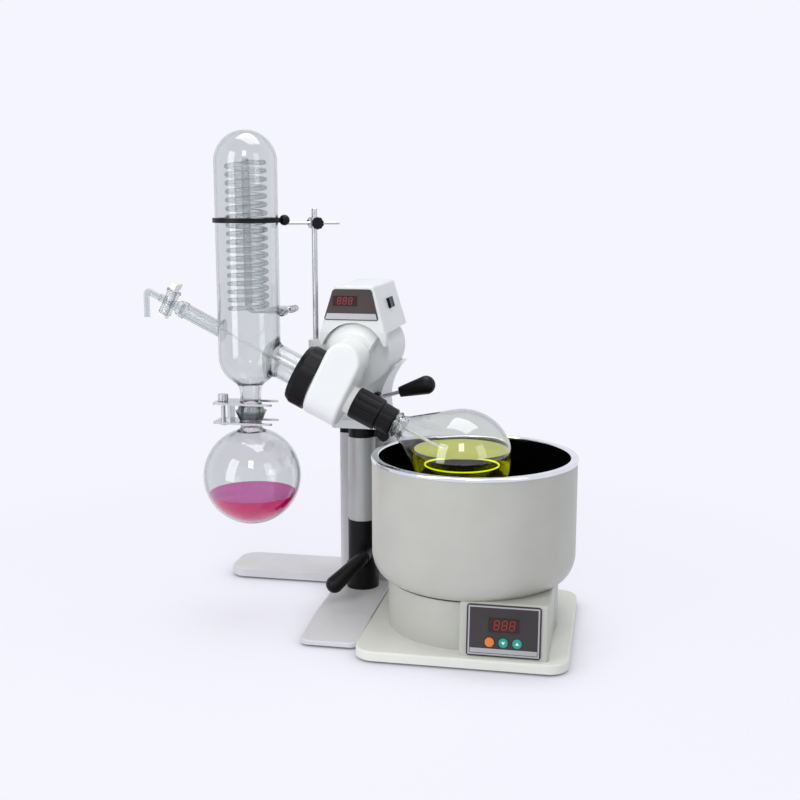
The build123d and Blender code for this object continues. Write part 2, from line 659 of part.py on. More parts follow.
def arm_cavity():
    """Wheel chamber, worm bore, bearing seat and shaft bore inside the arm."""
    wheel_r = DRUM_R - DRUM_WALL
    chamber = post(wheel_r, ARM_WIDTH - 12 - ARM_COVER, -ARM_END + 12)
    worm = post(WORM_PITCH_R + WHEEL_MODULE + 1.5, 2 * DRUM_R - 5)
    worm = Pos(AXIS_DROP, DRUM_R - 5, 0) * Rot(90, 0, 0) * worm
    bearing = post(BEARING_R + SLIP, BEARING_WIDTH, -ARM_END + 12 - BEARING_WIDTH)
    shaft = post(SLEEVE_R + 1, ARM_WIDTH, -ARM_END)
    return chamber + worm + bearing + shaft


def arm_housing():
    body = ROTARY * arm_outer()
    meet = CASING_FRONT - ROOM
    flange = turned_points(
        (0, meet - FLANGE_THICK - FLANGE_CONE), (FLANGE_R * 0.72, meet - FLANGE_THICK - FLANGE_CONE),
        (FLANGE_R, meet - FLANGE_THICK), (FLANGE_R, meet), (0, meet))
    body += MOTOR * flange
    body -= ROTARY * post(UNION_R + 1, 2 * UNION_LENGTH, -ARM_END - 2 * UNION_LENGTH)
    body = body - ROTARY * arm_cavity()
    body = body - ROTARY * slab(BIG, BIG, BIG, ARM_END - ARM_COVER)
    body += MOTOR * post(SPIGOT_R, SPIGOT_LENGTH, meet)
    seat = NECK_T + ROOM
    body += ROTARY * (post(BOSS_R, -ARM_END + 1 - seat, seat))
    body -= ROTARY * post(SLEEVE_R + 3, BOSS_LENGTH + 3, seat)
    body -= MOTOR * post(WORM_SHAFT_R + 3, 60, meet - 40)
    pin_hole = post(PIN_HOLE_R, FLANGE_CONE + FLANGE_THICK - 4, meet - FLANGE_CONE - FLANGE_THICK)
    body -= MOTOR * (Pos(PIN_HOLE_X, PIN_HOLE_DROP, 0) * pin_hole)
    rod = CLAMP * Pos(ROD_ALONG, ROD_BESIDE, 0)
    rod_x = rod.position.X
    rod_y = rod.position.Y
    height = 14.0
    low = ROD_BOTTOM - 2
    web = Pos((rod_x + MOTOR_X - FLANGE_R * 0.5) / 2, meet - 3.5, low + height / 2) * Box(
        MOTOR_X - FLANGE_R * 0.5 - rod_x, 6, height)
    link = Pos(rod_x, (rod_y + meet) / 2 - 3.25, low + height / 2) * Box(12, rod_y - meet + 6.5, height)
    boss = Pos(rod_x, rod_y, low) * post(ROD_R + 4.5, height)
    bore = Pos(rod_x, rod_y, ROD_BOTTOM) * post(ROD_R + SLIP, height)
    return body + web + link + boss - bore


def arm_cover():
    """End plate of the arm on the flask side, with the second bearing's seat."""
    plate = arm_outer() & slab(BIG, BIG, ARM_COVER, ARM_END - ARM_COVER)
    spot = post(BEARING_R + 3, BEARING_WIDTH - 2, ARM_END - ARM_COVER - BEARING_WIDTH + 2)
    seat = post(BEARING_R + SLIP, BEARING_WIDTH, ARM_END - ARM_COVER - BEARING_WIDTH + 2)
    return ROTARY * (plate + spot - seat - post(SLEEVE_R + 0.6, ARM_WIDTH))


def duct_bearings():
    left = pipe(BEARING_R, SLEEVE_R + SLIP, BEARING_WIDTH, -ARM_END + 12 - BEARING_WIDTH)
    right = pipe(BEARING_R, SLEEVE_R + SLIP, BEARING_WIDTH, ARM_END - ARM_COVER - BEARING_WIDTH + 2)
    return ROTARY * Compound(children=[left, right])


def duct_seal():
    """Lip seal between the still arm and the turning vapour duct."""
    return ROTARY * pipe(SLEEVE_R + 3 - SLIP, DUCT_R + SLIP, 7, NECK_T + ROOM + 0.5)


def duct_sleeve():
    bottom = -ARM_END + 1.5
    return ROTARY * pipe(SLEEVE_R, DUCT_R + SLIP, MOUTH_T - ROOM - bottom, bottom)


def vapour_duct():
    bottom = NECK_T + ROOM
    length = MOUTH_T + 30 - bottom
    return ROTARY * pipe(DUCT_R, DUCT_R - DUCT_WALL, length, bottom)


def worm_wheel():
    """Spur-cut wheel: trapezoid teeth with a gap at the top, on a hub."""
    tip = WHEEL_PITCH_R + WHEEL_MODULE
    root = WHEEL_PITCH_R - 1.25 * WHEEL_MODULE
    blank = post(tip, WHEEL_WIDTH, -WHEEL_WIDTH / 2)
    half_pitch = WHEEL_MODULE * pi / 4
    spread = tan(radians(20))
    wide = half_pitch + WHEEL_MODULE * spread + 0.25
    narrow = half_pitch - 1.25 * WHEEL_MODULE * spread + 0.25
    gap = make_face(Polyline(
        (root, -narrow), (root, narrow), (tip + 0.5, wide + 0.2), (tip + 0.5, -wide - 0.2), close=True))
    tooth_gap = Pos(0, 0, -WHEEL_WIDTH / 2) * extrude(gap, WHEEL_WIDTH)
    wheel = blank - PolarLocations(0, WHEEL_TEETH) * tooth_gap
    hub = post(SLEEVE_R + 6, WHEEL_WIDTH + 6, -WHEEL_WIDTH / 2 - 3)
    return ROTARY * (wheel + hub - post(SLEEVE_R + SLIP, ARM_WIDTH, -ARM_END))


def worm_shaft():
    """Motor shaft with a one-start worm over the wheel."""
    lead = WHEEL_MODULE * pi
    core = WORM_PITCH_R - 1.25 * WHEEL_MODULE
    worm = post(core, WORM_LENGTH + lead, GLASS_Y - (WORM_LENGTH + lead) / 2)
    shaft_front = GLASS_Y - DRUM_R + 5 + ROOM
    shaft_back = CASING_BACK - CASING_ROUND - 16
    shaft = post(WORM_SHAFT_R, shaft_back - shaft_front, shaft_front)
    spread = tan(radians(20))
    half = WHEEL_MODULE * pi / 4 - BACKLASH
    reach = WHEEL_MODULE - ROOM
    depth = 1.25 * WHEEL_MODULE + 0.6
    helix = Helix(lead, WORM_LENGTH, WORM_PITCH_R)
    profile = make_face(Polyline(
        (-depth, -half - depth * spread), (reach, -half + reach * spread),
        (reach, half - reach * spread), (-depth, half + depth * spread), close=True))
    section = Plane(origin=helix @ 0, x_dir=(1, 0, 0), z_dir=helix % 0) * profile
    thread = sweep(section, path=helix, is_frenet=True)
    turns = WORM_LENGTH / 2 / lead
    thread = Rot(0, 0, 90 + TILT - 360 * turns) * thread
    return MOTOR * (shaft + worm + Pos(0, 0, GLASS_Y - WORM_LENGTH / 2) * thread)


def seal_ring():
    return ROTARY * pipe(SEAL_RING_R, SLEEVE_R + SLIP, SEAL_RING_WIDTH, SEAL_T)


def flask_nut():
    """Coupling nut: a ribbed grip and a second, tapered ribbed ring over the flask's flange."""
    taper = 1.0
    grip = turned_points(
        (0, NUT_T), (FLASK_NUT_R - 1.5, NUT_T), (FLASK_NUT_R, NUT_T + 1.5), (FLASK_NUT_R, NUT_STEP_T - 1.5),
        (FLASK_NUT_R - 1.5, NUT_STEP_T), (NUT_RING_R, NUT_STEP_T), (NUT_RING_R - taper, NUT_END_T - 1.5),
        (NUT_RING_R - taper - 1.5, NUT_END_T), (0, NUT_END_T))
    long_groove = Pos(FLASK_NUT_R + 0.7, 0, 0) * post(1.7, FLASK_NUT_LENGTH - 8, NUT_T + 4)
    short_groove = Pos(NUT_RING_R + 0.4, 0, 0) * post(1.3, NUT_RING_LENGTH - 6, NUT_STEP_T + 3)
    grip -= PolarLocations(0, NUT_RIBS) * (long_groove + short_groove)
    flange_end = MOUTH_T + 4 + ROOM
    grip -= post(SLEEVE_R + SLIP, flange_end - NUT_T, NUT_T)
    return ROTARY * (grip - post(FLASK_NECK_R + ROOM, NUT_END_T, flange_end))


def evaporating_flask():
    outer = pear(FLASK_R, FLASK_NECK_R, MOUTH_T) + post(SLEEVE_R - 0.2, 4, MOUTH_T)
    return ROTARY * (outer - pear(FLASK_R - WALL_GLASS, DUCT_R + ROOM, MOUTH_T))


def evaporating_liquid():
    """What the flask holds: its inside up to a level surface."""
    centre = ROTARY.from_local_coords((0, 0, FLASK_T))
    pool = Pos(*centre) * Sphere(FLASK_R - WALL_GLASS - ROOM)
    pool &= Pos(centre.X, centre.Y, 0) * slab(BIG, BIG, centre.Z + FLASK_LEVEL)
    return pool - ROTARY * post(FEED_TUBE_R + ROOM, FLASK_T, 0)


def condenser_nut():
    """Union nut with broad flats, screwed over the arm's boss and behind the condenser's flange."""
    end = UNION_T + UNION_LENGTH
    body = post(UNION_R, UNION_LENGTH, UNION_T)
    body = chamfer(body.edges().group_by(Axis.Z)[0], 7.0, 4.0)
    flat = Pos(UNION_R + 9.2, 0, 0) * slab(20, UNION_FLAT, UNION_LENGTH - 6, UNION_T + 4)
    body -= PolarLocations(0, UNION_FLATS) * flat
    body -= post(BOSS_R + ROOM, end - NECK_T + 7, NECK_T - 7)
    return ROTARY * (body - post(NECK_R + ROOM, UNION_LENGTH, UNION_T))


# Condenser

def condenser_body():
    inner_r = CONDENSER_R - WALL_GLASS
    tall = ball_end(CONDENSER_R, CONDENSER_BOTTOM, CONDENSER_TOP)
    hollow = ball_end(inner_r, CONDENSER_BOTTOM + WALL_GLASS, CONDENSER_TOP - WALL_GLASS)
    spout = post(OUTLET_R, CONDENSER_BOTTOM + 12 - BALL_Z, BALL_Z)
    ball = Pos(0, 0, BALL_Z) * Sphere(BALL_R) & slab(60, 60, 100, BALL_Z - BALL_CUT)
    drain = post(OUTLET_R - WALL_GLASS - 1, 80, BALL_Z - BALL_CUT)
    glass = CONDENSER * (tall + spout + ball)
    neck = post(NECK_R, CONDENSER_T + NECK_T, -CONDENSER_T)
    neck += post(NECK_FLANGE_R, 5, NECK_T - 5)
    feed = post(FEED_R, FEED_T - CONDENSER_T, -FEED_T)
    glass += ROTARY * (neck + feed)
    for y, way in nozzle_rows():
        glass += CONDENSER * nozzle(NOZZLE_R, y, way)
    hollows = CONDENSER * (hollow + drain)
    hollows += ROTARY * (
        post(NECK_R - WALL_GLASS, CONDENSER_T + NECK_T, -CONDENSER_T)
        + post(FEED_R - WALL_GLASS, FEED_T - CONDENSER_T, -FEED_T))
    for y, way in nozzle_rows():
        hollows += CONDENSER * nozzle(COIL_TUBE_R + SLIP, y, way)
    return glass - hollows


def nozzle_rows():
    """Distance of each hose nozzle from the condenser's middle plane, and the way along Y that it bends."""
    return [(COIL_R, 1), (0, -1)]


def nozzle(radius, y, way):
    """Bent rod of a hose nozzle: out through the wall along +X, then along Y."""
    corner = CONDENSER_R + NOZZLE_STEP
    path = FilletPolyline(
        (0, y, COIL_BOTTOM), (corner, y, COIL_BOTTOM), (corner, y + way * NOZZLE_REACH, COIL_BOTTOM),
        radius=NOZZLE_BEND)
    return sweep(Plane(origin=(0, y, COIL_BOTTOM), z_dir=(1, 0, 0)) * Circle(radius), path=path)


def cooling_coil():
    """Helical coil that winds up from its straight tail, which leaves along +X into the nozzle."""
    path = Helix(COIL_PITCH, COIL_TOP - COIL_BOTTOM, COIL_R)
    section = Plane(origin=path @ 0, x_dir=(1, 0, 0), z_dir=path % 0) * RegularPolygon(COIL_TUBE_R, 6)
    coil = Rot(0, 0, 90) * sweep(section, path=path, is_frenet=True)
    tail = Pos(-1, COIL_R, 0) * Rot(0, 90, 0) * post(COIL_TUBE_R, CONDENSER_R + 1)
    return Pos(0, 0, COIL_BOTTOM) * (coil + tail)


def return_tube():
    """Straight tube down the coil's middle, with a crossing to the coil's top and a foot out to its nozzle."""
    finish = (COIL_TOP - COIL_BOTTOM) / COIL_PITCH * 360 + 90
    tube = ball_end(RETURN_R, COIL_BOTTOM - RETURN_R, COIL_TOP + RETURN_R)
    crossing = Rot(0, 0, finish) * Rot(0, 90, 0) * post(COIL_TUBE_R, COIL_R - COIL_TUBE_R - ROOM)
    foot = Rot(0, 90, 0) * post(COIL_TUBE_R, CONDENSER_R + 1)
    return tube + Pos(0, 0, COIL_TOP) * crossing + Pos(0, 0, COIL_BOTTOM) * foot


def condenser_coils():
    """Cooling coil and the return tube in its middle."""
    return CONDENSER * Compound(children=[cooling_coil(), return_tube()])


def feed_tube():
    return ROTARY * post(FEED_TUBE_R, FEED_T - 6 + FLASK_T - FEED_SHORT, -FEED_T + 6)


def feed_stopcock():
    """Glass stopcock: ground cone in the feed arm, cross barrel and a spout bent down to its tip."""
    cone = post(FEED_R - WALL_GLASS - SLIP, 18, -FEED_T) + post(FEED_R, 5, -FEED_T - 5 - SLIP)
    stem = post(SPOUT_R + 1, STOPCOCK_T + 14 - FEED_T, -STOPCOCK_T - 14)
    barrel = Pos(0, 0, -STOPCOCK_T) * Rot(0, 90, 0) * Cylinder(STOPCOCK_R, STOPCOCK_LENGTH)
    body = ROTARY * (cone + stem + barrel)
    start = ROTARY.from_local_coords((0, 0, -STOPCOCK_T - 13))
    bend = start + Vector(-SPOUT_REACH, 0, SPOUT_REACH * tan(SLOPE))
    tip = bend + Vector(0, 0, -SPOUT_DROP)
    path = FilletPolyline(start, bend, tip, radius=SPOUT_BEND)
    section = Plane(origin=start, z_dir=path % 0) * Circle(SPOUT_R)
    body += sweep(section, path=path)
    bore = Pos(0, 0, -STOPCOCK_T) * Rot(0, 90, 0) * Cylinder(KEY_R + SLIP, STOPCOCK_LENGTH + 2)
    line = post(FEED_TUBE_R + SLIP, 60, -FEED_T + 6)
    return body - ROTARY * (bore + line)


def stopcock_key():
    """Plug through the barrel with a flat cross grip above it."""
    plug = post(KEY_R, STOPCOCK_LENGTH + 8, -STOPCOCK_LENGTH / 2 - 4)
    grip = Pos(0, 0, STOPCOCK_LENGTH / 2 + 7) * Box(7, 24, 9)
    grip = fillet(grip.edges().filter_by(Axis.X), 3.5)
    nut = post(KEY_R + 2, 4, -STOPCOCK_LENGTH / 2 - 4 - ROOM)
    return ROTARY * Pos(0, 0, -STOPCOCK_T) * Rot(0, 90, 0) * (plug + grip + nut)


# Condenser support

def support_rod():
    rod = post(ROD_R, ROD_TOP - ROD_BOTTOM, ROD_BOTTOM - CLAMP_Z)
    return CLAMP * Pos(ROD_ALONG, ROD_BESIDE, 0) * fillet(rod.edges().group_by(Axis.Z)[-1], ROD_R * 0.5)


def clamp_ring():
    """Thin band round the condenser, drawn together in a ball that takes the end of the bar."""
    inner = CONDENSER_R + ROOM
    band = pipe(inner + CLAMP_BAND, inner, CLAMP_HEIGHT, -CLAMP_HEIGHT / 2)
    band += Pos(BALL_REACH, 0, 0) * Sphere(CLAMP_BALL_R)
    band -= post(inner, 2 * CLAMP_BALL_R, -CLAMP_BALL_R)
    socket = Pos(BALL_REACH - BAR_R, 0, -BAR_DROP) * Rot(0, 90, 0) * post(BAR_R + SLIP, CLAMP_BALL_R * 2)
    return CLAMP * (band - socket)


def clamp_bar():
    start = BALL_REACH - BAR_R + SLIP
    return BAR * Pos(start, 0, 0) * Rot(0, 90, 0) * post(BAR_R, BAR_REACH - start)


def boss_head():
    """Double clamp that holds the bar across the rod."""
    front = BAR_R + BOSS_MARGIN
    back = ROD_BESIDE + ROD_R + BOSS_MARGIN
    body = Pos(ROD_ALONG, (back - front) / 2, 0) * rounded_slab(
        2 * BOSS_HALF, back + front, 2 * BOSS_HALF, BOSS_HALF * 0.6, -BOSS_HALF)
    body -= Rot(0, 90, 0) * Cylinder(BAR_R + SLIP, BIG)
    body -= Pos(ROD_ALONG, ROD_BESIDE, 0) * Cylinder(ROD_R + SLIP, BIG)
    threads = Pos(ROD_ALONG, 0, 0) * Rot(90, 0, 0) * Cylinder(SCREW_R + SLIP, BIG)
    return BAR * (body - threads)


def thumb_screw(length):
    """Screw along +Z from its tip, with a ribbed round knob."""
    return post(SCREW_R, length + 2) + knurled_knob(SCREW_KNOB_R, 10, length)


def bar_screw():
    return BAR * Pos(ROD_ALONG, -BAR_R - ROOM, 0) * Rot(90, 0, 0) * thumb_screw(BOSS_MARGIN + 3)


def rod_screw():
    tip = ROD_BESIDE + ROD_R + ROOM
    return BAR * Pos(ROD_ALONG, tip, 0) * Rot(-90, 0, 0) * thumb_screw(BOSS_MARGIN + 3)


def fork_levels():
    """Undersides of the upper and lower fork plates, set by the ball and its cup."""
    gap = OUTLET_R + 1
    upper = BALL_Z + sqrt(BALL_R ** 2 - gap ** 2) + ROOM
    drop = CUP_HEIGHT * (CUP_R - gap) / (CUP_R - OUTLET_R)
    lower = BALL_Z - drop - ROOM - FORK_PLATE
    return upper, lower


def joint_clamp():
    """Steel fork clamp round the ball joint: two forked plates on a spine."""
    upper, lower = fork_levels()
    plate = rounded_slab(FORK_RIGHT + FORK_LEFT, 2 * FORK_HALF, FORK_PLATE, 6)
    plate = Pos((FORK_RIGHT - FORK_LEFT) / 2, 0, 0) * plate
    mouth = post(OUTLET_R + 1, FORK_PLATE)
    mouth += Pos(FORK_RIGHT, 0, 0) * slab(2 * FORK_RIGHT, 2 * OUTLET_R + 2, FORK_PLATE)
    plate -= mouth
    plate -= Pos(-FORK_LEFT + 9, 0, 0) * post(3 + SLIP, FORK_PLATE)
    spine = Pos(-FORK_LEFT + 20, 0, lower) * slab(4, FORK_HALF, upper - lower + FORK_PLATE)
    return CONDENSER * (Pos(0, 0, upper) * plate + Pos(0, 0, lower) * plate + spine)


def clamp_screw():
    """Knurled screw that pulls the two forks together."""
    upper, lower = fork_levels()
    screw = post(3, upper + FORK_PLATE + 6 - lower, lower - 4)
    head = knurled_knob(7, 9, upper + FORK_PLATE + ROOM)
    nut = extrude(RegularPolygon(5.5, 6), 4)
    return CONDENSER * Pos(-FORK_LEFT + 9, 0, 0) * (screw + head + Pos(0, 0, lower - 4 - ROOM) * nut)


def receiving_flask():
    """Round flask in two shells: a ball with a wide mouth, and the shoulder that closes in to the neck."""
    ball = Sphere(RECEIVER_R) - Sphere(RECEIVER_R - WALL_GLASS) - post(OUTLET_R + SLIP, BIG)
    above = slab(BIG, BIG, BIG, SHOULDER_RISE)
    return CONDENSER * Pos(0, 0, RECEIVER_Z) * Compound(children=[ball - above, ball & above])


def receiver_socket():
    """Neck of the round flask, which opens into the conical cup of the ball joint."""
    low = RECEIVER_Z + sqrt((RECEIVER_R - WALL_GLASS) ** 2 - OUTLET_R ** 2)
    foot = BALL_Z - CUP_HEIGHT
    glass = turned_points(
        (0, low), (OUTLET_R, low), (OUTLET_R, foot), (CUP_R, BALL_Z), (0, BALL_Z))
    bore = post(OUTLET_R - WALL_GLASS, BALL_Z - low, low)
    return CONDENSER * (glass - bore - Pos(0, 0, BALL_Z) * Sphere(BALL_R + ROOM))


def receiving_liquid():
    pool = Pos(0, 0, RECEIVER_Z) * Sphere(RECEIVER_R - WALL_GLASS - ROOM)
    return CONDENSER * (pool & slab(BIG, BIG, RECEIVER_Z + RECEIVER_LEVEL))


# Heating bath

def bath_base():
    plate = rounded_slab(BATH_WIDTH, BATH_DEPTH, BATH_PLATE, BATH_CORNER, FLOOR)
    plate = fillet(plate.edges().group_by(Axis.Z)[-1], 3.0)
    inset = 2 * BATH_SKIN
    plate -= rounded_slab(
        BATH_WIDTH - inset, BATH_DEPTH - inset, BATH_PLATE - BATH_SKIN, BATH_CORNER - BATH_SKIN, FLOOR)
    for x, y in bath_foot_spots():
        plate += Pos(x, y, 0) * post(FOOT_R, BATH_PLATE - 1, FLOOR)
    return BATH * plate


def box_solid(inset):
    """Control box on the pedestal's front right, with a front that leans back."""
    left = BOX_FROM_AXIS + inset
    front = -BOX_FRONT + inset
    top = BOX_TOP - inset
    side = Plane.YZ * make_face(Polyline(
        (front, BATH_TOP), (0, BATH_TOP), (0, top), (front + BOX_LEAN, top), close=True))
    return Pos(left, 0, 0) * extrude(side, BOX_WIDTH - 2 * inset)


def bath_pedestal():
    """Round pedestal under the bowl with the control box grown out of it."""
    top = SHELL_BOTTOM - ROOM
    box = box_solid(0)
    box = fillet(box.edges().filter_by(lambda edge: edge.center().Y < -20).filter_by(
        lambda edge: edge.center().Z > BATH_TOP + 1), 4.0)
    body = post(PEDESTAL_R, top - BATH_TOP, BATH_TOP) + box
    bowl = BATH.inverse() * bath_shell_outer(ROOM)
    inside = post(PEDESTAL_R - PEDESTAL_WALL, top - BATH_TOP, BATH_TOP) + box_solid(PEDESTAL_WALL)
    inlet = Pos(0, PEDESTAL_R - 6, (BATH_TOP + top) / 2) * Box(
        INLET_WIDTH + INLET_LIP + 2 * SLIP, 40, INLET_HEIGHT + INLET_LIP + 2 * SLIP)
    plane = button_plane()
    holes = [plane * Pos(x, y, 0) * Cylinder(BUTTON_R + ROOM, 30) for x, y in button_spots()]
    return BATH * (body - inside - inlet - bowl - holes)


def bath_shell_outer(grow):
    """Outside of the bowl's shell, grown by the given room."""
    wide = SHELL_R + grow
    foot = SHELL_BASE_R + grow
    low = SHELL_BOTTOM - grow
    top = RIM_TOP - RIM_HEIGHT
    return BATH * turned(
        Line((0, low), (foot, low)),
        ThreePointArc((foot, low), (foot + (wide - foot) * 0.72, low + (SHELL_ROUND_TOP - low) * 0.29),
                      (wide, SHELL_ROUND_TOP)),
        Polyline((wide, SHELL_ROUND_TOP), (wide, top), (0, top), (0, low)),
    )


def bath_shell():
    inside = bath_shell_outer(-SHELL_WALL)
    opening = BATH * post(SHELL_R - SHELL_WALL, RIM_TOP, SHELL_ROUND_TOP)
    return bath_shell_outer(0) - inside - opening


def pot_solid(radius, floor):
    """Pot-shaped solid about Z with a rounded bottom edge."""
    top = RIM_TOP - RIM_HEIGHT
    body = post(radius, top - floor, floor)
    return fillet(body.edges().group_by(Axis.Z)[0], POT_ROUND)


def bath_pot():
    return BATH * (pot_solid(POT_R + POT_WALL, POT_FLOOR - POT_WALL) - pot_solid(POT_R, POT_FLOOR))


def bath_rim():
    """Rolled rim that closes the gap between the pot and the shell."""
    rim = pipe(RIM_R, POT_R, RIM_HEIGHT, RIM_TOP - RIM_HEIGHT)
    return BATH * fillet(rim.edges().group_by(Axis.Z)[-1], 2.0)


def bath_heater():
    """Flat ring heater pressed against the underside of the pot."""
    return BATH * pipe(HEATER_R, HEATER_R * 0.45, HEATER_HEIGHT, POT_FLOOR - POT_WALL - HEATER_HEIGHT)


def button_plane():
    """Plane of the control box's front at the middle of its panel, facing out."""
    rise = BOX_TOP - BATH_TOP
    middle = (BATH_TOP + BOX_TOP) / 2
    depth = -BOX_FRONT + BOX_LEAN / 2
    centre = BOX_FROM_AXIS + BOX_WIDTH / 2
    return Plane(origin=(centre, depth, middle), x_dir=(1, 0, 0), z_dir=(0, -rise, BOX_LEAN))


def button_spots():
    """Places of the three buttons on the panel."""
    return [(step * BUTTON_PITCH, -BUTTON_DROP) for step in (-1, 0, 1)]


def bath_panel():
    plate = extrude(RectangleRounded(PANEL_WIDTH, PANEL_HEIGHT, 4), PANEL_THICK)
    for x, y in button_spots():
        plate -= Pos(x, y, 0) * Cylinder(BUTTON_R + ROOM, 10)
    return BATH * (button_plane() * plate)


def bath_display():
    window = extrude(RectangleRounded(WINDOW_WIDTH, WINDOW_HEIGHT, 1.2), WINDOW_THICK)
    return BATH * (button_plane() * (Pos(0, WINDOW_RISE, PANEL_THICK) * window))


def panel_button(spot):
    """Round push button with a domed cap, standing proud of the panel by its travel and a little more."""
    height = PANEL_THICK + BUTTON_TRAVEL + 0.6
    cap = post(BUTTON_R, height + 6, -6)
    cap = fillet(cap.edges().group_by(Axis.Z)[-1], 0.8)
    return BATH * (button_plane() * (Pos(spot[0], spot[1], 0) * cap))


parts = {
    "stand_base": stand_base(),
    "rubber_feet": rubber_feet(),
    "column_socket": column_socket(),
    "column_tube": column_tube(),
    "column_cap": column_cap(),
    "rear_pillar": rear_pillar(),
    "rear_pillar_cap": rear_pillar_cap(),
    "lift_lock_lever": lift_lock_lever(),
    "lift_lock_knob": lift_lock_knob(),
    "lift_shaft": lift_shaft(),
    "guide_rod": guide_rod(),
    "head_bracket": head_bracket(),
    "tilt_lock_lever": tilt_lock_lever(),
    "motor_casing": motor_casing(),
    "drive_motor": drive_motor(),
    "head_cover": head_cover(),
    "head_panel": head_panel(),
    "head_display": head_display(),
    "rocker_switch": rocker_switch(),
    "arm_housing": arm_housing(),
    "arm_cover": arm_cover(),
    "duct_bearings": duct_bearings(),
    "duct_seal": duct_seal(),
    "duct_sleeve": duct_sleeve(),
    "vapour_duct": vapour_duct(),
    "worm_wheel": worm_wheel(),
    "worm_shaft": worm_shaft(),
    "seal_ring": seal_ring(),
    "flask_nut": flask_nut(),
    "evaporating_flask": evaporating_flask(),
    "evaporating_liquid": evaporating_liquid(),
    "condenser_nut": condenser_nut(),
    "condenser_body": condenser_body(),
    "condenser_coils": condenser_coils(),
    "feed_tube": feed_tube(),
    "feed_stopcock": feed_stopcock(),
    "stopcock_key": stopcock_key(),
    "support_rod": support_rod(),
    "clamp_ring": clamp_ring(),
    "clamp_bar": clamp_bar(),
    "boss_head": boss_head(),
    "bar_screw": bar_screw(),
    "rod_screw": rod_screw(),
    "joint_clamp": joint_clamp(),
    "clamp_screw": clamp_screw(),
    "receiving_flask": receiving_flask(),
    "receiver_socket": receiver_socket(),
    "receiving_liquid": receiving_liquid(),
    "bath_base": bath_base(),
    "bath_pedestal": bath_pedestal(),
    "bath_shell": bath_shell(),
    "bath_pot": bath_pot(),
    "bath_rim": bath_rim(),
    "bath_heater": bath_heater(),
    "bath_panel": bath_panel(),
    "bath_display": bath_display(),
}
for name, spot in zip(("set_button", "down_button", "up_button"), button_spots()):
    parts[name] = panel_button(spot)
inlet_z = (BATH_TOP + SHELL_BOTTOM - ROOM) / 2
parts["bath_inlet"] = BATH * Pos(0, PEDESTAL_R - 2, inlet_z) * Rot(-90, 0, 0) * socket_inlet()

os.makedirs("parts", exist_ok=True)
for name, shape in parts.items():
    export_step(shape, f"parts/{name}.step")
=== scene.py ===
import json
import math

import bmesh
import bpy
import numpy as np
from mathutils import Matrix


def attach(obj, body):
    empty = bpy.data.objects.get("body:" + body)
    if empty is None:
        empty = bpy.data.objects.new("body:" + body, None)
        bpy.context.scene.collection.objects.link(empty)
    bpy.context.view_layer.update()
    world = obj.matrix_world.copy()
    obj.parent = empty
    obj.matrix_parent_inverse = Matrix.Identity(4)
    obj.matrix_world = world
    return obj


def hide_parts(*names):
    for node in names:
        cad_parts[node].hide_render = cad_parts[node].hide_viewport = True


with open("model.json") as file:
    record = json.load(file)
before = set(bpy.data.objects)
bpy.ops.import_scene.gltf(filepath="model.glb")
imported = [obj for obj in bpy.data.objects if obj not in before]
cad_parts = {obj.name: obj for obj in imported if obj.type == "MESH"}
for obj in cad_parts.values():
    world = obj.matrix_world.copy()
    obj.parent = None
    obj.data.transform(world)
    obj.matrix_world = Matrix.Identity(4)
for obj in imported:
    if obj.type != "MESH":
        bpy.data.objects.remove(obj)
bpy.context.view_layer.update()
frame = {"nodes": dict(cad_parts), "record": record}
nodes = frame["nodes"]

# Sizes in millimetres, the same as the solids
TILT = math.radians(26.5)
X, Y, Z = np.eye(3)
ALONG = np.array([math.cos(TILT), 0, -math.sin(TILT)])
ACROSS = np.array([math.sin(TILT), 0, math.cos(TILT)])
AXIS = np.array([-8 - 48.5 * ACROSS[0], -41, 360.5 - 48.5 * ACROSS[2]])
GLASS_WALL = 2.2
CONDENSER_T = 127.3
CONDENSER = AXIS - CONDENSER_T * ALONG
CONDENSER_R = 41.0
CONDENSER_LOW = 319.0
CONDENSER_TOP = 653.0
NECK_T = -38.3
NECK_R = 21.0
NECK_LIP_R = 30.0
NECK_FLARE = 9.0
FEED_T = 231.0
FEED_R = 10.0
FEED_BEAD_R = 11.2
FEED_FLARE = 5.0
STOPCOCK_T = 251.0
STEM_R = 5.5
STEM_BORE_R = 3.0
STEM_REACH = 14.0
BARREL_HALF = 17.0
BARREL_R = 8.6
BARREL_WAIST_R = 7.6
BARREL_FLANGE_R = 10.2
KEY_BORE_R = 5.1
SPOUT_STEP = 20.5
SPOUT_DROP = 36.0
SPOUT_R = 4.5
SPOUT_BORE_R = 2.4
COIL_R = 24.5
COIL_TUBE_R = 3.0
COIL_PITCH = 10.8
COIL_LOW = 420.0
COIL_HIGH = 612.0
RETURN_R = 5.0
RETURN_TIP_R = 3.5
RETURN_RISE = 5.0
NOZZLE_R = 4.8
NOZZLE_STEP = 10.0
NOZZLE_REACH = 20.0
NOZZLE_BEND = 7.0
BALL_Z = 286.0
BALL_R = 17.5
BALL_CUT = 48.0
OUTLET_R = 14.0
OUTLET_BORE_R = 10.8
CUP_R = 21.0
CUP_HEIGHT = 16.0
RECEIVER_Z = 196.6
RECEIVER_R = 65.5
RECEIVER_BORE_R = 11.8
RECEIVER_LEVEL = -23.0
MOUTH_T = 78.1
MOUTH_R = 16.8
FLASK_T = 192.0
FLASK_R = 66.0
FLASK_NECK_R = 15.0
FLASK_BORE_R = 12.8
FLASK_CONE = 37.0
FLASK_BEAD_R = 2.6
FLASK_BEAD_T = 17.5
FLASK_LIP = 4.0
FLASK_LIP_END = 4.5
FLASK_BLEND = 3.5
FLASK_BORE_BLEND = 8.0
FLASK_LEVEL = 14.0
LIGHT_RING_R = 36.0
LIGHT_RING_DROP = 21.0
LIGHT_RING_THICK = 0.8
POOL_GAP = 0.3
BATH = np.array([158.5, -41.0, 0.0])
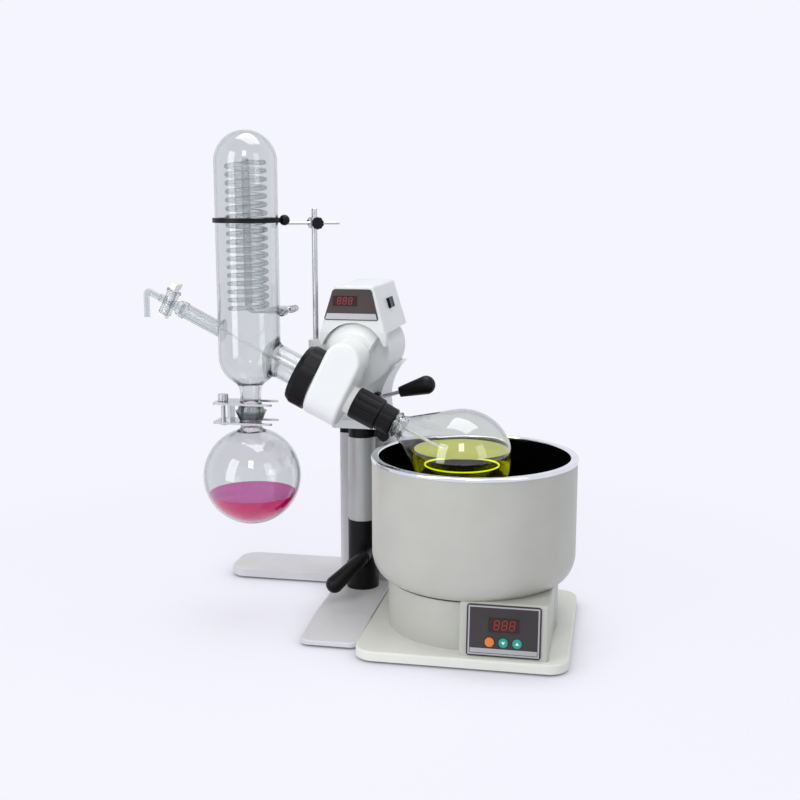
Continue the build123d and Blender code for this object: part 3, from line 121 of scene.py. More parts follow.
SHELL_R = 133.3
SHELL_WALL = 2.0
SHELL_LOW = 77.0
SHELL_BEND = 110.0
SHELL_FLAT_R = 100.0
POT_R = 124.0
POT_WALL = 2.0
POT_LOW = 102.0
POT_CORNER = 12.0
RIM_R = 134.6
RIM_TOP = 239.0
RIM_HEIGHT = 4.4


def linear(code):
    """Linear RGBA of an sRGB hex colour."""
    channels = np.array([int(code[i:i + 2], 16) for i in (1, 3, 5)]) / 255
    low = channels / 12.92
    high = ((channels + 0.055) / 1.055) ** 2.4
    return (*np.where(channels <= 0.04045, low, high).tolist(), 1.0)


def node(tree, kind, inputs=None, **settings):
    """Adds a node, sets its properties, and gives each named input a value or a link."""
    made = tree.nodes.new(kind)
    for key, value in settings.items():
        setattr(made, key, value)
    for key, value in (inputs or {}).items():
        if isinstance(value, bpy.types.NodeSocket):
            tree.links.new(value, made.inputs[key])
        else:
            made.inputs[key].default_value = value
    return made


def new_material(name, sockets):
    """Material with its tree and its shader, whose sockets are set."""
    made = bpy.data.materials.new(name)
    made.use_nodes = True
    tree = made.node_tree
    shader = tree.nodes["Principled BSDF"]
    for key, value in sockets.items():
        shader.inputs[key.replace("_", " ")].default_value = value
    return made, tree, shader


def blended(tree, factor, stops):
    """Colour that runs through (position, hex) stops as the factor goes from 0 to 1."""
    ramp = node(tree, "ShaderNodeValToRGB", {"Fac": factor})
    elements = ramp.color_ramp.elements
    while len(elements) < len(stops):
        elements.new(0.5)
    for element, (position, colour) in zip(elements, stops):
        element.position = position
        element.color = linear(colour)
    return ramp.outputs["Color"]


ROUGH_SPREAD = 0.06
GRAIN_STRENGTH = 0.35


def grained(name, dark, light, rough, grain_mm, depth_mm, drift_mm=70.0, **sockets):
    """Painted or moulded skin: the tone drifts between two colours, and a pebble grain dents it."""
    made, tree, shader = new_material(name, sockets)
    coords = node(tree, "ShaderNodeTexCoord").outputs["Object"]
    drift = node(tree, "ShaderNodeTexNoise", {"Vector": coords, "Scale": 1000 / drift_mm, "Detail": 4.0})
    grain = node(tree, "ShaderNodeTexNoise", {"Vector": coords, "Scale": 1000 / grain_mm, "Detail": 2.0})
    spread = node(tree, "ShaderNodeMapRange", {
        "Value": grain.outputs["Fac"], "To Min": rough - ROUGH_SPREAD, "To Max": rough + ROUGH_SPREAD})
    bump = node(tree, "ShaderNodeBump", {
        "Height": grain.outputs["Fac"], "Strength": GRAIN_STRENGTH, "Distance": depth_mm / 1000})
    tone = blended(tree, drift.outputs["Fac"], [(0.3, dark), (0.7, light)])
    tree.links.new(tone, shader.inputs["Base Color"])
    tree.links.new(spread.outputs["Result"], shader.inputs["Roughness"])
    tree.links.new(bump.outputs["Normal"], shader.inputs["Normal"])
    return made


def blown(name, clear, outline, start, rough=0.0, ior=1.47):
    """Clear glass whose tint deepens towards its outline, where the eye looks along the wall; the
    near-black end of that tint is painted shade.
    """
    made, tree, shader = new_material(name, dict(Transmission_Weight=1.0, Roughness=rough, IOR=ior))
    slant = node(tree, "ShaderNodeLayerWeight", {"Blend": 0.5})
    tint_and_edge_shade = blended(tree, slant.outputs["Facing"], [(start, clear), (0.96, outline)])
    tree.links.new(tint_and_edge_shade, shader.inputs["Base Color"])
    return made


def dyed(name, deep, pale, size_mm, **sockets):
    """Dyed liquid: the colour clouds between a deep and a pale tone, as light gathers in it."""
    made, tree, shader = new_material(name, dict(IOR=1.33, Roughness=0.03, **sockets))
    coords = node(tree, "ShaderNodeTexCoord").outputs["Object"]
    cloud = node(tree, "ShaderNodeTexNoise", {"Vector": coords, "Scale": 1000 / size_mm, "Detail": 1.0})
    tone = blended(tree, cloud.outputs["Fac"], [(0.35, deep), (0.65, pale)])
    tree.links.new(tone, shader.inputs["Base Color"])
    return made


# Powder-coated steel: even, half gloss, with a fine orange peel about 1.6 mm wide
stand_enamel = grained("powder_coated_steel_pale", "#D6D6D8", "#DEDEE0", 0.42, 1.6, 0.05,
                       Specular_IOR_Level=0.35)
column_enamel = grained("powder_coated_steel_grey", "#B2B4B3", "#BBBDBC", 0.34, 1.6, 0.03, Metallic=0.3,
                        Specular_IOR_Level=0.35)
# Sprayed two-pack paint on cast alloy: near white and smooth
head_enamel = grained("spray_paint_off_white", "#E0E4E4", "#E8EBEB", 0.34, 2.2, 0.03,
                      Specular_IOR_Level=0.35)
arm_enamel = grained("spray_paint_white", "#EDF0EF", "#F3F5F4", 0.34, 2.2, 0.03,
                     Specular_IOR_Level=0.35)
# Baked enamel on spun sheet: warm grey, smooth, with a soft sheen
bath_enamel = grained("baked_enamel_warm_grey", "#BABBB3", "#C2C3BB", 0.36, 2.0, 0.03,
                      Specular_IOR_Level=0.35)
plate_enamel = grained("baked_enamel_pale", "#E4E6DE", "#EBEDE5", 0.36, 2.0, 0.03,
                       Specular_IOR_Level=0.4)
# Moulded ABS: black, satin, spark-eroded grain drawn at 0.9 mm so that it shows
black_abs = grained("moulded_abs_black", "#070708", "#0C0C0D", 0.40, 0.9, 0.06,
                    Specular_IOR_Level=0.18)
# Non-stick coating on the pot: glossy black with a slight spray ripple
pot_coating = grained("non_stick_coating_black", "#040405", "#080809", 0.12, 3.5, 0.03,
                      Specular_IOR_Level=0.3)
# Rubber: dull black, dusty
foot_rubber = grained("moulded_rubber_black", "#141414", "#1E1E1E", 0.75, 0.8, 0.05)
# PTFE: waxy white that glows a little under the skin
ptfe = grained("machined_ptfe_white", "#EBEBE8", "#F2F2EF", 0.36, 1.2, 0.02, Subsurface_Weight=0.15)
# Drawn PTFE for the feed tube, stopcock key and seal: the same waxy white with a faint glow, which is
# painted light
ptfe_tube_painted_glow = grained("drawn_ptfe_tube_painted_glow", "#DCDCDA", "#E4E4E1", 0.36, 1.2, 0.02,
                    Emission_Color=linear("#F0F0ED"), Emission_Strength=0.2)
# Ground steel bar and sheet: grey, half bright
ground_steel = grained("ground_stainless_steel", "#B9BBBD", "#C8CACB", 0.27, 0.7, 0.02, Metallic=1.0)
cast_alloy = grained("tumbled_die_cast_alloy", "#A6A8AA", "#B6B8BA", 0.38, 1.1, 0.05, Metallic=1.0)
bronze = grained("machined_bronze", "#A8814A", "#B48E55", 0.32, 0.8, 0.02, Metallic=1.0)
# Chrome plate: almost a mirror, with faint polishing waves
chrome = grained("polished_chrome_plate", "#DADCDD", "#E6E8E9", 0.10, 4.0, 0.01, Metallic=1.0)
# Printed polyester film over the panels: dark, fine satin
panel_film = grained("printed_film_dark", "#3E3B3C", "#474445", 0.5, 0.5, 0.01,
                     Specular_IOR_Level=0.15)
head_film = grained("printed_film_brown_grey", "#463F3E", "#4F4848", 0.5, 0.5, 0.01,
                    Specular_IOR_Level=0.15)
silver_print = grained("silver_ink_on_film", "#A9A9AD", "#B8B8BC", 0.38, 0.6, 0.01, Metallic=0.3)
# Smoked acrylic in front of the digits: dark red, glossy
window_acrylic = grained("smoked_acrylic_red", "#2A1110", "#33150F", 0.10, 6.0, 0.01,
                         Specular_IOR_Level=0.4)
# Moulded keys
orange_key = grained("moulded_key_orange", "#E07A28", "#E9852F", 0.30, 0.8, 0.02)
teal_key = grained("moulded_key_teal", "#129A87", "#18A792", 0.30, 0.8, 0.02)
white_print = grained("white_ink", "#EDEFEF", "#F6F7F7", 0.45, 0.6, 0.01)
# Light-emitting digits behind the acrylic
red_digits = grained("lit_digit_red", "#7A1D13", "#862216", 0.4, 0.6, 0.01,
                     Emission_Color=linear("#A82A1B"), Emission_Strength=0.2)
# Borosilicate glass: clear with a faint grey, and painted shade along its outline, most of all in thin
# tubes
clear_glass = blown("blown_borosilicate_glass", "#E8EAE9", "#0E1112", 0.62)
tube_glass = blown("drawn_borosilicate_tube", "#DDE1E1", "#0C0E10", 0.22)
# Lampworked glass: small thick pieces, softened so that their many skins read as one
small_glass = blown("lampworked_glass", "#E2E6E6", "#33383B", 0.35, 0.0, 1.15)
# Ground joint: the cup's skin is milled dull and grey, and that grey is deepened as painted shade, darkest
# towards the outline
joint_glass_painted_shade = blown("ground_joint_glass", "#A4A9AA", "#101213", 0.20, 0.18)
# Dyed liquids: a glossy top and a deeper body; the glow of the violet top, the magenta body and the olive
# top is painted light
magenta_top = dyed("distillate_surface_violet", "#A02C8C", "#B83494", 45.0, Specular_IOR_Level=0.1,
                   Emission_Color=linear("#C02C90"), Emission_Strength=0.4)
magenta_body = dyed("distillate_body_magenta", "#C00860", "#DE0E76", 40.0, Specular_IOR_Level=0.1,
                    Emission_Color=linear("#D80070"), Emission_Strength=0.45)
yellow_top = dyed("solution_surface_olive", "#A6AC08", "#BEC20F", 50.0, Specular_IOR_Level=0.2,
                  Emission_Color=linear("#A8A800"), Emission_Strength=0.4)
yellow_body = dyed("solution_body_yellow", "#B4B20C", "#CCCA1C", 30.0, Transmission_Weight=1.0)
# Lime ring: a strong glow, painted light where light gathers in the solution
lime_painted_glow = dyed("solution_lime_painted_glow", "#D8E61E", "#E8F51E", 30.0,
                 Emission_Color=linear("#E8F51E"), Emission_Strength=1.6)

finishes = {
    "stand_enamel": stand_enamel, "column_enamel": column_enamel, "black_plastic": black_abs,
    "head_enamel": head_enamel, "bath_enamel": bath_enamel, "pot_coating": pot_coating,
    "clear_glass": clear_glass, "steel": ground_steel, "chrome": chrome, "bronze": bronze,
    "cast_alloy": cast_alloy, "ptfe": ptfe, "rubber": foot_rubber, "panel_film": panel_film,
    "display_window": window_acrylic, "orange_key": orange_key, "teal_key": teal_key,
    "yellow_solution": yellow_body, "magenta_distillate": magenta_body,
}
own_finish = {
    "head_panel": head_film, "arm_housing": arm_enamel, "arm_cover": arm_enamel,
    "bath_base": plate_enamel, "rear_pillar": stand_enamel, "feed_tube": ptfe_tube_painted_glow,
    "stopcock_key": ptfe_tube_painted_glow, "seal_ring": ptfe_tube_painted_glow,
}
for piece in frame["record"]["subparts"]:
    solid = nodes[piece["node"]]
    solid.data.materials.clear()
    solid.data.materials.append(own_finish.get(piece["node"], finishes[piece["material_slot"]]))

# The tilt lever's rod, between its hub and its handle, is bare steel. Lengths along X, in metres
TILT_HUB_SPAN = 0.014
TILT_HANDLE_SPAN = 0.050
lever = nodes["tilt_lock_lever"]
lever.data.materials.append(ground_steel)
world_x = np.array(lever.matrix_world)[0, :3]
corners = np.empty(3 * len(lever.data.vertices))
centres = np.empty(3 * len(lever.data.polygons))
lever.data.vertices.foreach_get("co", corners)
lever.data.polygons.foreach_get("center", centres)
ends = corners.reshape(-1, 3) @ world_x
along = centres.reshape(-1, 3) @ world_x
bare = (along > ends.min() + TILT_HUB_SPAN) & (along < ends.max() - TILT_HANDLE_SPAN)
lever.data.polygons.foreach_set("material_index", bare.astype(np.int32))


# Shapes: points in millimetres on grids, and the places they go to
def placed(points, origin, axes):
    """Points given along three axes, moved to an origin: origin + x a + y b + z c."""
    return np.asarray(origin) + np.asarray(points) @ np.asarray(axes)


def upright(points, centre):
    """Places (x, y, height) points about a vertical axis."""
    return placed(points, (centre[0], centre[1], 0), (X, Y, Z))


def on_rotary(points):
    """Places (across, front, along) points about the tilted rotary axis."""
    return placed(points, AXIS, (ACROSS, -Y, ALONG))


def arc(centre, radius, start, end, steps=32):
    """Circular arc of (radius, height) points between two angles in degrees."""
    angles = np.radians(np.linspace(start, end, steps))
    return np.column_stack([centre[0] + radius * np.cos(angles), centre[1] + radius * np.sin(angles)])


def run(*points):
    """Straight-sided run of points."""
    return np.array(points, float)


def bend(start, corner, end, steps=12):
    """Quadratic curve from start to end that leaves and arrives along lines through the corner."""
    t = np.linspace(0, 1, steps)[:, None]
    start, corner, end = (np.asarray(p, float) for p in (start, corner, end))
    return (1 - t) ** 2 * start + 2 * t * (1 - t) * corner + t ** 2 * end


def put(name, shape, materials, body, stands_for=(), sharp=35.0):
    """Makes an object at the origin of points in millimetres and faces, and ties it to its body. A third
    item of the shape gives each face's material index."""
    points, faces, *indices = shape
    mesh = bpy.data.meshes.new(name)
    mesh.from_pydata((np.asarray(points) / 1000).tolist(), [], faces)
    for material in materials:
        mesh.materials.append(material)
    if indices:
        mesh.polygons.foreach_set("material_index", indices[0])
    work = bmesh.new()
    work.from_mesh(mesh)
    bmesh.ops.remove_doubles(work, verts=work.verts, dist=1e-6)
    bmesh.ops.dissolve_degenerate(work, dist=1e-7, edges=work.edges)
    if work.calc_volume(signed=True) < 0:
        bmesh.ops.reverse_faces(work, faces=work.faces)
    work.to_mesh(mesh)
    work.free()
    mesh.shade_smooth()
    mesh.set_sharp_from_angle(angle=math.radians(sharp))
    made = bpy.data.objects.new(name, mesh)
    bpy.context.scene.collection.objects.link(made)
    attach(made, body)
    if stands_for:
        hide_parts(*stands_for)


def grid_faces(rows, columns, wrap_rows, wrap_columns):
    """Quads of a grid of rows by columns points, joined round where it wraps."""
    i = np.arange(rows if wrap_rows else rows - 1)[:, None]
    j = np.arange(columns if wrap_columns else columns - 1)[None, :]
    below = (i + 1) % rows
    beside = (j + 1) % columns
    quads = np.stack(np.broadcast_arrays(
        i * columns + j, below * columns + j, below * columns + beside, i * columns + beside), axis=-1)
    return quads.reshape(-1, 4).tolist()


def turned(profile, steps=144):
    """Surface of revolution: each (radius, height) point of a closed profile runs once round Z."""
    angle = np.linspace(0, 2 * np.pi, steps, endpoint=False)
    radius, height = profile[:, :1], profile[:, 1:]
    points = np.stack(np.broadcast_arrays(
        radius * np.cos(angle), radius * np.sin(angle), height), axis=-1).reshape(-1, 3)
    return points, grid_faces(len(profile), steps, True, True)


def ring_stack(path, radius, reference, steps):
    """Circles carried along a path, their first direction kept square to a reference line."""
    path = np.asarray(path, float)
    tangent = np.gradient(path, axis=0)
    tangent /= np.linalg.norm(tangent, axis=1, keepdims=True)
    side = reference - tangent * (tangent @ reference)[:, None]
    side /= np.linalg.norm(side, axis=1, keepdims=True)
    up = np.cross(tangent, side)
    angle = np.linspace(0, 2 * np.pi, steps, endpoint=False)
    ring = side[:, None] * np.cos(angle)[None, :, None] + up[:, None] * np.sin(angle)[None, :, None]
    size = np.broadcast_to(np.asarray(radius, float), (len(path),))
    return path[:, None] + ring * size[:, None, None]


def rod(path, radius, reference, steps=20):
    """Round rod along a path, each end drawn in to a point of the path."""
    path = np.asarray(path, float)
    rings = ring_stack(path, radius, reference, steps)
    first, last = (np.repeat(end[None, None], steps, 1) for end in (path[0], path[-1]))
    rings = np.concatenate([first, rings, last])
    return rings.reshape(-1, 3), grid_faces(len(rings), steps, False, True)


def tube(path, outer, inner, reference, steps=32):
    """Open-ended tube along a path: out along its outside and back along its bore."""
    rings = np.concatenate([
        ring_stack(path, outer, reference, steps), ring_stack(path, inner, reference, steps)[::-1]])
    return rings.reshape(-1, 3), grid_faces(len(rings), steps, True, True)


def joined(*shapes):
    """One set of points and faces from several."""
    starts = np.cumsum([0] + [len(points) for points, _ in shapes])
    faces = [
        [index + start for index in face] for start, shape in zip(starts, shapes) for face in shape[1]]
    return np.vstack([points for points, _ in shapes]), faces


def moved(shape, place, *where):
    """Shape with its points placed by one of the placing functions."""
    points, faces = shape
    return place(points, *where), faces


# Evaporating flask: neck with a bead, rounded shoulder, cone and ball, doubled back inside by the wall
def pear_side(ball, neck, blend):
    """Side of the pear from the neck to the pole: a bend into the cone, then the tangent circle."""
    cone = math.radians(FLASK_CONE)
    touch = np.array([ball * math.cos(cone), FLASK_T - ball * math.sin(cone)])
    shoulder = np.array([neck, touch[1] - (touch[0] - neck) / math.tan(cone)])
    slope = np.array([math.sin(cone), math.cos(cone)])
    return np.vstack([
        bend(shoulder - [0, blend], shoulder, shoulder + slope * blend),
        arc((0, FLASK_T), ball, -FLASK_CONE, 90, 48),
    ])


flask_bead = arc((FLASK_NECK_R, MOUTH_T + FLASK_BEAD_T), FLASK_BEAD_R, -90, 90, 10)
outer = np.vstack([
    run((MOUTH_R, MOUTH_T), (MOUTH_R, MOUTH_T + FLASK_LIP), (FLASK_NECK_R, MOUTH_T + FLASK_LIP_END)),
    flask_bead, pear_side(FLASK_R, FLASK_NECK_R, FLASK_BLEND)])
inner = np.vstack([
    run((FLASK_BORE_R, MOUTH_T)), pear_side(FLASK_R - GLASS_WALL, FLASK_BORE_R, FLASK_BORE_BLEND)])
put("flask_glass", moved(turned(np.vstack([outer, inner[::-1]])), on_rotary), [clear_glass],
    "rotor", ["evaporating_flask"])


def pool(radius, level, steps=144):
    """Liquid in a ball: the ball's inside up to the level as the body, and a flat top of its own finish."""
    edge = math.degrees(math.asin(level / radius))
    points, faces = turned(np.vstack([arc((0, 0), radius, -90, edge, 48), run((0, level))]), steps)
    heights = points[np.array(faces), 2]
    return points, faces, (np.ptp(heights, axis=1) < 1e-6).astype(int).tolist()


flask_middle = AXIS + FLASK_T * ALONG
points, faces, tops = pool(FLASK_R - GLASS_WALL - POOL_GAP, FLASK_LEVEL)
put("flask_pool", (points + flask_middle, faces, tops), [yellow_body, yellow_top],
    "arm", ["evaporating_liquid"])
# Bright ring below the surface, where light gathers in the solution
ring_section = arc((LIGHT_RING_R, FLASK_LEVEL - LIGHT_RING_DROP), LIGHT_RING_THICK, 0, 330, 12)
ring = moved(turned(ring_section, 120), placed, flask_middle, (X, Y, Z))
put("solution_painted_light_ring", ring, [lime_painted_glow], "arm")

# Receiving flask: a ball with a short neck that opens into the conical cup of the ball joint
seat = BALL_R + POOL_GAP
outer = np.vstack([
    run((seat, BALL_Z), (CUP_R, BALL_Z), (OUTLET_R, BALL_Z - CUP_HEIGHT)),
    bend((OUTLET_R, RECEIVER_Z + 70), (OUTLET_R, RECEIVER_Z + 64), (21, RECEIVER_Z + 62), 10),
    arc((0, RECEIVER_Z), RECEIVER_R, 69, -90, 64),
])
inner = np.vstack([
    arc((0, BALL_Z), seat, 0, -BALL_CUT, 12),
    run((RECEIVER_BORE_R, BALL_Z - 20), (RECEIVER_BORE_R, RECEIVER_Z + 63)),
    bend((RECEIVER_BORE_R, RECEIVER_Z + 63), (RECEIVER_BORE_R, RECEIVER_Z + 61),
         (18, RECEIVER_Z + 60.5), 6),
    arc((0, RECEIVER_Z), RECEIVER_R - GLASS_WALL, 72, -90, 64),
])
points, faces = turned(np.vstack([outer, inner[::-1]]))
ground = (points[np.array(faces), 2].min(axis=1) > BALL_Z - CUP_HEIGHT - 0.1).astype(int).tolist()
put("receiver_glass", (upright(points, CONDENSER), faces, ground), [clear_glass, joint_glass_painted_shade],
    "receiver", ["receiving_flask", "receiver_socket"])
points, faces, tops = pool(RECEIVER_R - GLASS_WALL - POOL_GAP, RECEIVER_LEVEL)
points = upright(points + [0, 0, RECEIVER_Z], CONDENSER)
put("receiver_pool", (points, faces, tops), [magenta_body, magenta_top],
    "receiver", ["receiving_liquid"])

# Condenser body: ball of the joint, spout, round-ended tube, doubled back inside by the wall
low_middle = CONDENSER_LOW + CONDENSER_R
high_middle = CONDENSER_TOP - CONDENSER_R
inner_r = CONDENSER_R - GLASS_WALL
outer = np.vstack([
    arc((0, BALL_Z), BALL_R, -BALL_CUT, 37, 24),
    run((OUTLET_R, BALL_Z + 14)),
    bend((OUTLET_R, CONDENSER_LOW - 9), (OUTLET_R, CONDENSER_LOW + 2), (23, CONDENSER_LOW + 7), 10),
    arc((0, low_middle), CONDENSER_R, -56, 0, 24),
    arc((0, high_middle), CONDENSER_R, 0, 90, 40),
])
inner = np.vstack([
    run((OUTLET_BORE_R, BALL_Z - 13), (OUTLET_BORE_R, CONDENSER_LOW - 1)),
    bend((OUTLET_BORE_R, CONDENSER_LOW - 1), (OUTLET_BORE_R, CONDENSER_LOW + 4.6),
         (17, CONDENSER_LOW + 6.2), 6),
    arc((0, low_middle), inner_r, -64, 0, 24),
    arc((0, high_middle), inner_r, 0, 90, 40),
])
condenser_shapes = [moved(turned(np.vstack([outer, inner[::-1]])), upright, CONDENSER)]


REACH_LIMIT = 120.0
HALVINGS = 40


def capsule_reach(across, front):
    """Distance T along the rotary axis at which a line beside it leaves the middle of the condenser's wall,
    found by halving the interval."""
    low = np.full(np.broadcast(across, front).shape, -CONDENSER_T)
    high = low + REACH_LIMIT
    for _ in range(HALVINGS):
        middle = (low + high) / 2
        place = on_rotary(np.stack(np.broadcast_arrays(across, front, middle), axis=-1))
        place -= [*CONDENSER[:2], 0]
        over = place[..., 2] - np.clip(place[..., 2], low_middle, high_middle)
        inside = place[..., 0] ** 2 + place[..., 1] ** 2 + over ** 2 < (CONDENSER_R - GLASS_WALL / 2) ** 2
        low = np.where(inside, middle, low)
        high = np.where(inside, high, middle)
    return low


def side_arm(radius, flare, end, lip, steps=96):
    """Glass arm along the rotary axis: a flared foot on the condenser, a straight tube, a lip given as
    (radius, T) and the bore back. Each angle has its own foot, in the condenser's wall."""
    angle = np.linspace(0, 2 * np.pi, steps, endpoint=False)
    way = 1.0 if end > -CONDENSER_T else -1.0

    def ray(size, distance):
        return np.stack(np.broadcast_arrays(size * np.cos(angle), size * np.sin(angle), distance), axis=-1)

    def foot(size):
        if way > 0:
            return capsule_reach(size * np.cos(angle), size * np.sin(angle))
        return -2 * CONDENSER_T - capsule_reach(-size * np.cos(angle), size * np.sin(angle))

    wide = ray(radius + flare, foot(radius + flare))
    corner = ray(radius, foot(radius))
    straight = ray(radius, foot(radius) + way * flare)
    t = np.linspace(0, 1, 10)[:, None, None]
    bore = radius - GLASS_WALL
    rings = np.concatenate([
        (1 - t) ** 2 * wide + 2 * t * (1 - t) * corner + t ** 2 * straight,
        np.stack([ray(size, distance) for size, distance in lip]),
        np.stack([ray(bore, end), ray(bore, foot(bore))]),
    ])
    return rings.reshape(-1, 3), grid_faces(len(rings), steps, True, True)


neck_lip = [
    (NECK_R, NECK_T - 7), (NECK_R + 2, NECK_T - 5), (NECK_LIP_R, NECK_T - 5), (NECK_LIP_R, NECK_T)]
feed_lip = [(FEED_R, -FEED_T + 4), (FEED_BEAD_R, -FEED_T + 5.5), (FEED_BEAD_R, -FEED_T)]
condenser_shapes.append(moved(side_arm(NECK_R, NECK_FLARE, NECK_T, neck_lip), on_rotary))
put("condenser_glass", joined(*condenser_shapes), [clear_glass],
    "arm", ["condenser_body"])
put("feed_arm_glass", moved(side_arm(FEED_R, FEED_FLARE, -FEED_T, feed_lip), on_rotary), [small_glass],
    "arm")

# Hose nozzles: out of the condenser's side and round a bend, one to each side
corner = CONDENSER_R + NOZZLE_STEP
nozzles = []
for start, way in ((COIL_R, 1), (0.0, -1)):
    wall = math.sqrt((CONDENSER_R - GLASS_WALL / 2) ** 2 - start ** 2)
    path = np.vstack([
        run((wall, start, COIL_LOW), (corner - NOZZLE_BEND - 1, start, COIL_LOW)),
        bend((corner - NOZZLE_BEND, start, COIL_LOW), (corner, start, COIL_LOW),
             (corner, start + way * NOZZLE_BEND, COIL_LOW)),
        run((corner, start + way * (NOZZLE_BEND + 1), COIL_LOW),
            (corner, start + way * NOZZLE_REACH, COIL_LOW))])
    nozzles.append(tube(upright(path, CONDENSER), NOZZLE_R, COIL_TUBE_R, Z))
put("nozzle_glass", joined(*nozzles), [tube_glass], "arm")

# Cooling coil: a helix up from its nozzle, across to the middle, and down a straight return tube to the
# other nozzle
COIL_START = 0.25
COIL_POINTS = 1000
turns = np.linspace(COIL_START, COIL_START + (COIL_HIGH - COIL_LOW) / COIL_PITCH, COIL_POINTS)
helix = np.column_stack([
    COIL_R * np.cos(2 * np.pi * turns), COIL_R * np.sin(2 * np.pi * turns),
    COIL_LOW + COIL_PITCH * (turns - COIL_START)])
inlet = np.linspace((CONDENSER_R - 10, COIL_R, COIL_LOW), (1, COIL_R, COIL_LOW), 12)
crossing = np.linspace(helix[-1], (0, 0, COIL_HIGH), 10)[2:]
coil = rod(upright(np.vstack([inlet, helix, crossing]), CONDENSER), COIL_TUBE_R, Z, 12)
drop = np.vstack([
    np.linspace((0, 0, COIL_HIGH + RETURN_RISE), (0, 0, COIL_LOW + 10), 40),
    bend((0, 0, COIL_LOW + 9), (0, 0, COIL_LOW), (9, 0, COIL_LOW), 12),
    np.linspace((10, 0, COIL_LOW), (CONDENSER_R - 1, 0, COIL_LOW), 8)])
slim = np.interp(
    drop[:, 2] - drop[:, 0], (COIL_LOW - 12, COIL_LOW + 16, COIL_HIGH, COIL_HIGH + RETURN_RISE),
    (COIL_TUBE_R, RETURN_R, RETURN_R, RETURN_TIP_R))
put("coil_glass", joined(coil, rod(upright(drop, CONDENSER), slim, Y, 24)), [tube_glass],
    "arm", ["condenser_coils"])

# Stopcock: collar on the feed arm, waisted stem, cross barrel with a flanged top, and a spout bent down
stem = np.vstack([
    run((FEED_R, -FEED_T - 0.1), (FEED_R, -FEED_T - 5)),
    bend((FEED_R - 1, -FEED_T - 6), (STEM_R, -FEED_T - 8), (STEM_R, -STOPCOCK_T), 8),
    run((STEM_R, -STOPCOCK_T - STEM_REACH), (STEM_BORE_R, -STOPCOCK_T - STEM_REACH),
        (STEM_BORE_R, -FEED_T - 0.1))])
barrel = np.vstack([
    run((KEY_BORE_R, -BARREL_HALF), (8, -BARREL_HALF), (BARREL_R, 1 - BARREL_HALF)),
    bend((BARREL_R, 2 - BARREL_HALF), (BARREL_WAIST_R, 0), (8.8, BARREL_HALF - 3), 10),
    run((BARREL_FLANGE_R, BARREL_HALF - 2), (BARREL_FLANGE_R, BARREL_HALF), (KEY_BORE_R, BARREL_HALF))])
spout_start = AXIS - (STOPCOCK_T + STEM_REACH - 1) * ALONG
spout_turn = spout_start + [-SPOUT_STEP, 0, SPOUT_STEP * math.tan(TILT)]
spout_path = np.vstack([
    np.linspace(spout_start, spout_start * 0.35 + spout_turn * 0.65, 6),
    bend(spout_start * 0.3 + spout_turn * 0.7, spout_turn, spout_turn - [0, 0, 9], 14),
    np.linspace(spout_turn - [0, 0, 10], spout_turn - [0, 0, SPOUT_DROP], 8)])
spout_size = np.interp(np.arange(len(spout_path)), (0, 20), (SPOUT_R + 0.5, SPOUT_R))
spout = tube(spout_path, spout_size, SPOUT_BORE_R, Y)
barrel_place = AXIS - STOPCOCK_T * ALONG
put("stopcock_glass", joined(
    moved(turned(stem, 48), on_rotary),
    moved(turned(barrel, 48), placed, barrel_place, (Y, ALONG, ACROSS)), spout),
    [small_glass], "arm", ["feed_stopcock"])

# Bath: spun shell, pot and rolled rim as smooth turned sheets
SHELL_TOP = RIM_TOP - RIM_HEIGHT
shell_in = SHELL_R - SHELL_WALL
shell_low_in = SHELL_LOW + SHELL_WALL
shell = np.vstack([
    run((0, SHELL_LOW)),
    bend((SHELL_FLAT_R, SHELL_LOW), (SHELL_R - 4, SHELL_LOW), (SHELL_R, SHELL_BEND), 20),
    run((SHELL_R, SHELL_TOP), (shell_in, SHELL_TOP), (shell_in, SHELL_BEND)),
    bend((shell_in, SHELL_BEND), (SHELL_R - 6, shell_low_in), (SHELL_FLAT_R, shell_low_in), 20),
    run((0, shell_low_in))])
put("bowl_shell", moved(turned(shell, 256), upright, BATH), [bath_enamel],
    "stand", ["bath_shell"])
pot_turn = (POT_R - POT_CORNER, POT_LOW + POT_WALL + POT_CORNER)
pot = np.vstack([
    run((0, POT_LOW)), arc(pot_turn, POT_CORNER + POT_WALL, -90, 0, 12),
    run((POT_R + POT_WALL, SHELL_TOP), (POT_R, SHELL_TOP)),
    arc(pot_turn, POT_CORNER, 0, -90, 12), run((0, POT_LOW + POT_WALL))])
put("bowl_pot", moved(turned(pot, 256), upright, BATH), [pot_coating],
    "stand", ["bath_pot"])
roll = RIM_HEIGHT / 2
rim = np.vstack([
    run((POT_R, SHELL_TOP), (RIM_R, SHELL_TOP)), arc((RIM_R - roll, SHELL_TOP + roll), roll, 0, 90, 10),
    arc((POT_R + roll, SHELL_TOP + roll), roll, 90, 180, 10)])
put("bowl_rim", moved(turned(rim, 256), upright, BATH), [chrome], "stand", ["bath_rim"])

# Lift lock lever: a hub on its stud, and a stout handle that leans out and down to a round end
LEVER_HUB = np.array([-4.0, 30.7, 70.0])
LEVER_HUB_R = 9.0
LEVER_HUB_LENGTH = 13.0
LEVER_STUD_R = 4.0
LEVER_STUD_LENGTH = 22.9
LEVER_ROOT = LEVER_HUB - 10 * Y
LEVER_SWEEP = np.array([-34.0, -32.0, -31.0])
LEVER_END_R = 12.2
lever_length = np.linalg.norm(LEVER_SWEEP)
lever_way = LEVER_SWEEP / lever_length
lever_side = np.cross(lever_way, Z) / np.linalg.norm(np.cross(lever_way, Z))
handle = np.vstack([
    run((0, -5), (6, -4), (8.5, 0), (9.5, 6)), arc((0, lever_length), LEVER_END_R, 3, 90, 14)])
hub = run((0, 0), (LEVER_HUB_R, 0), (LEVER_HUB_R, LEVER_HUB_LENGTH - 1),
          (LEVER_HUB_R - 1, LEVER_HUB_LENGTH), (0, LEVER_HUB_LENGTH))
stud = run((0, -LEVER_STUD_LENGTH), (LEVER_STUD_R, -LEVER_STUD_LENGTH), (LEVER_STUD_R, 0.5), (0, 0.5))
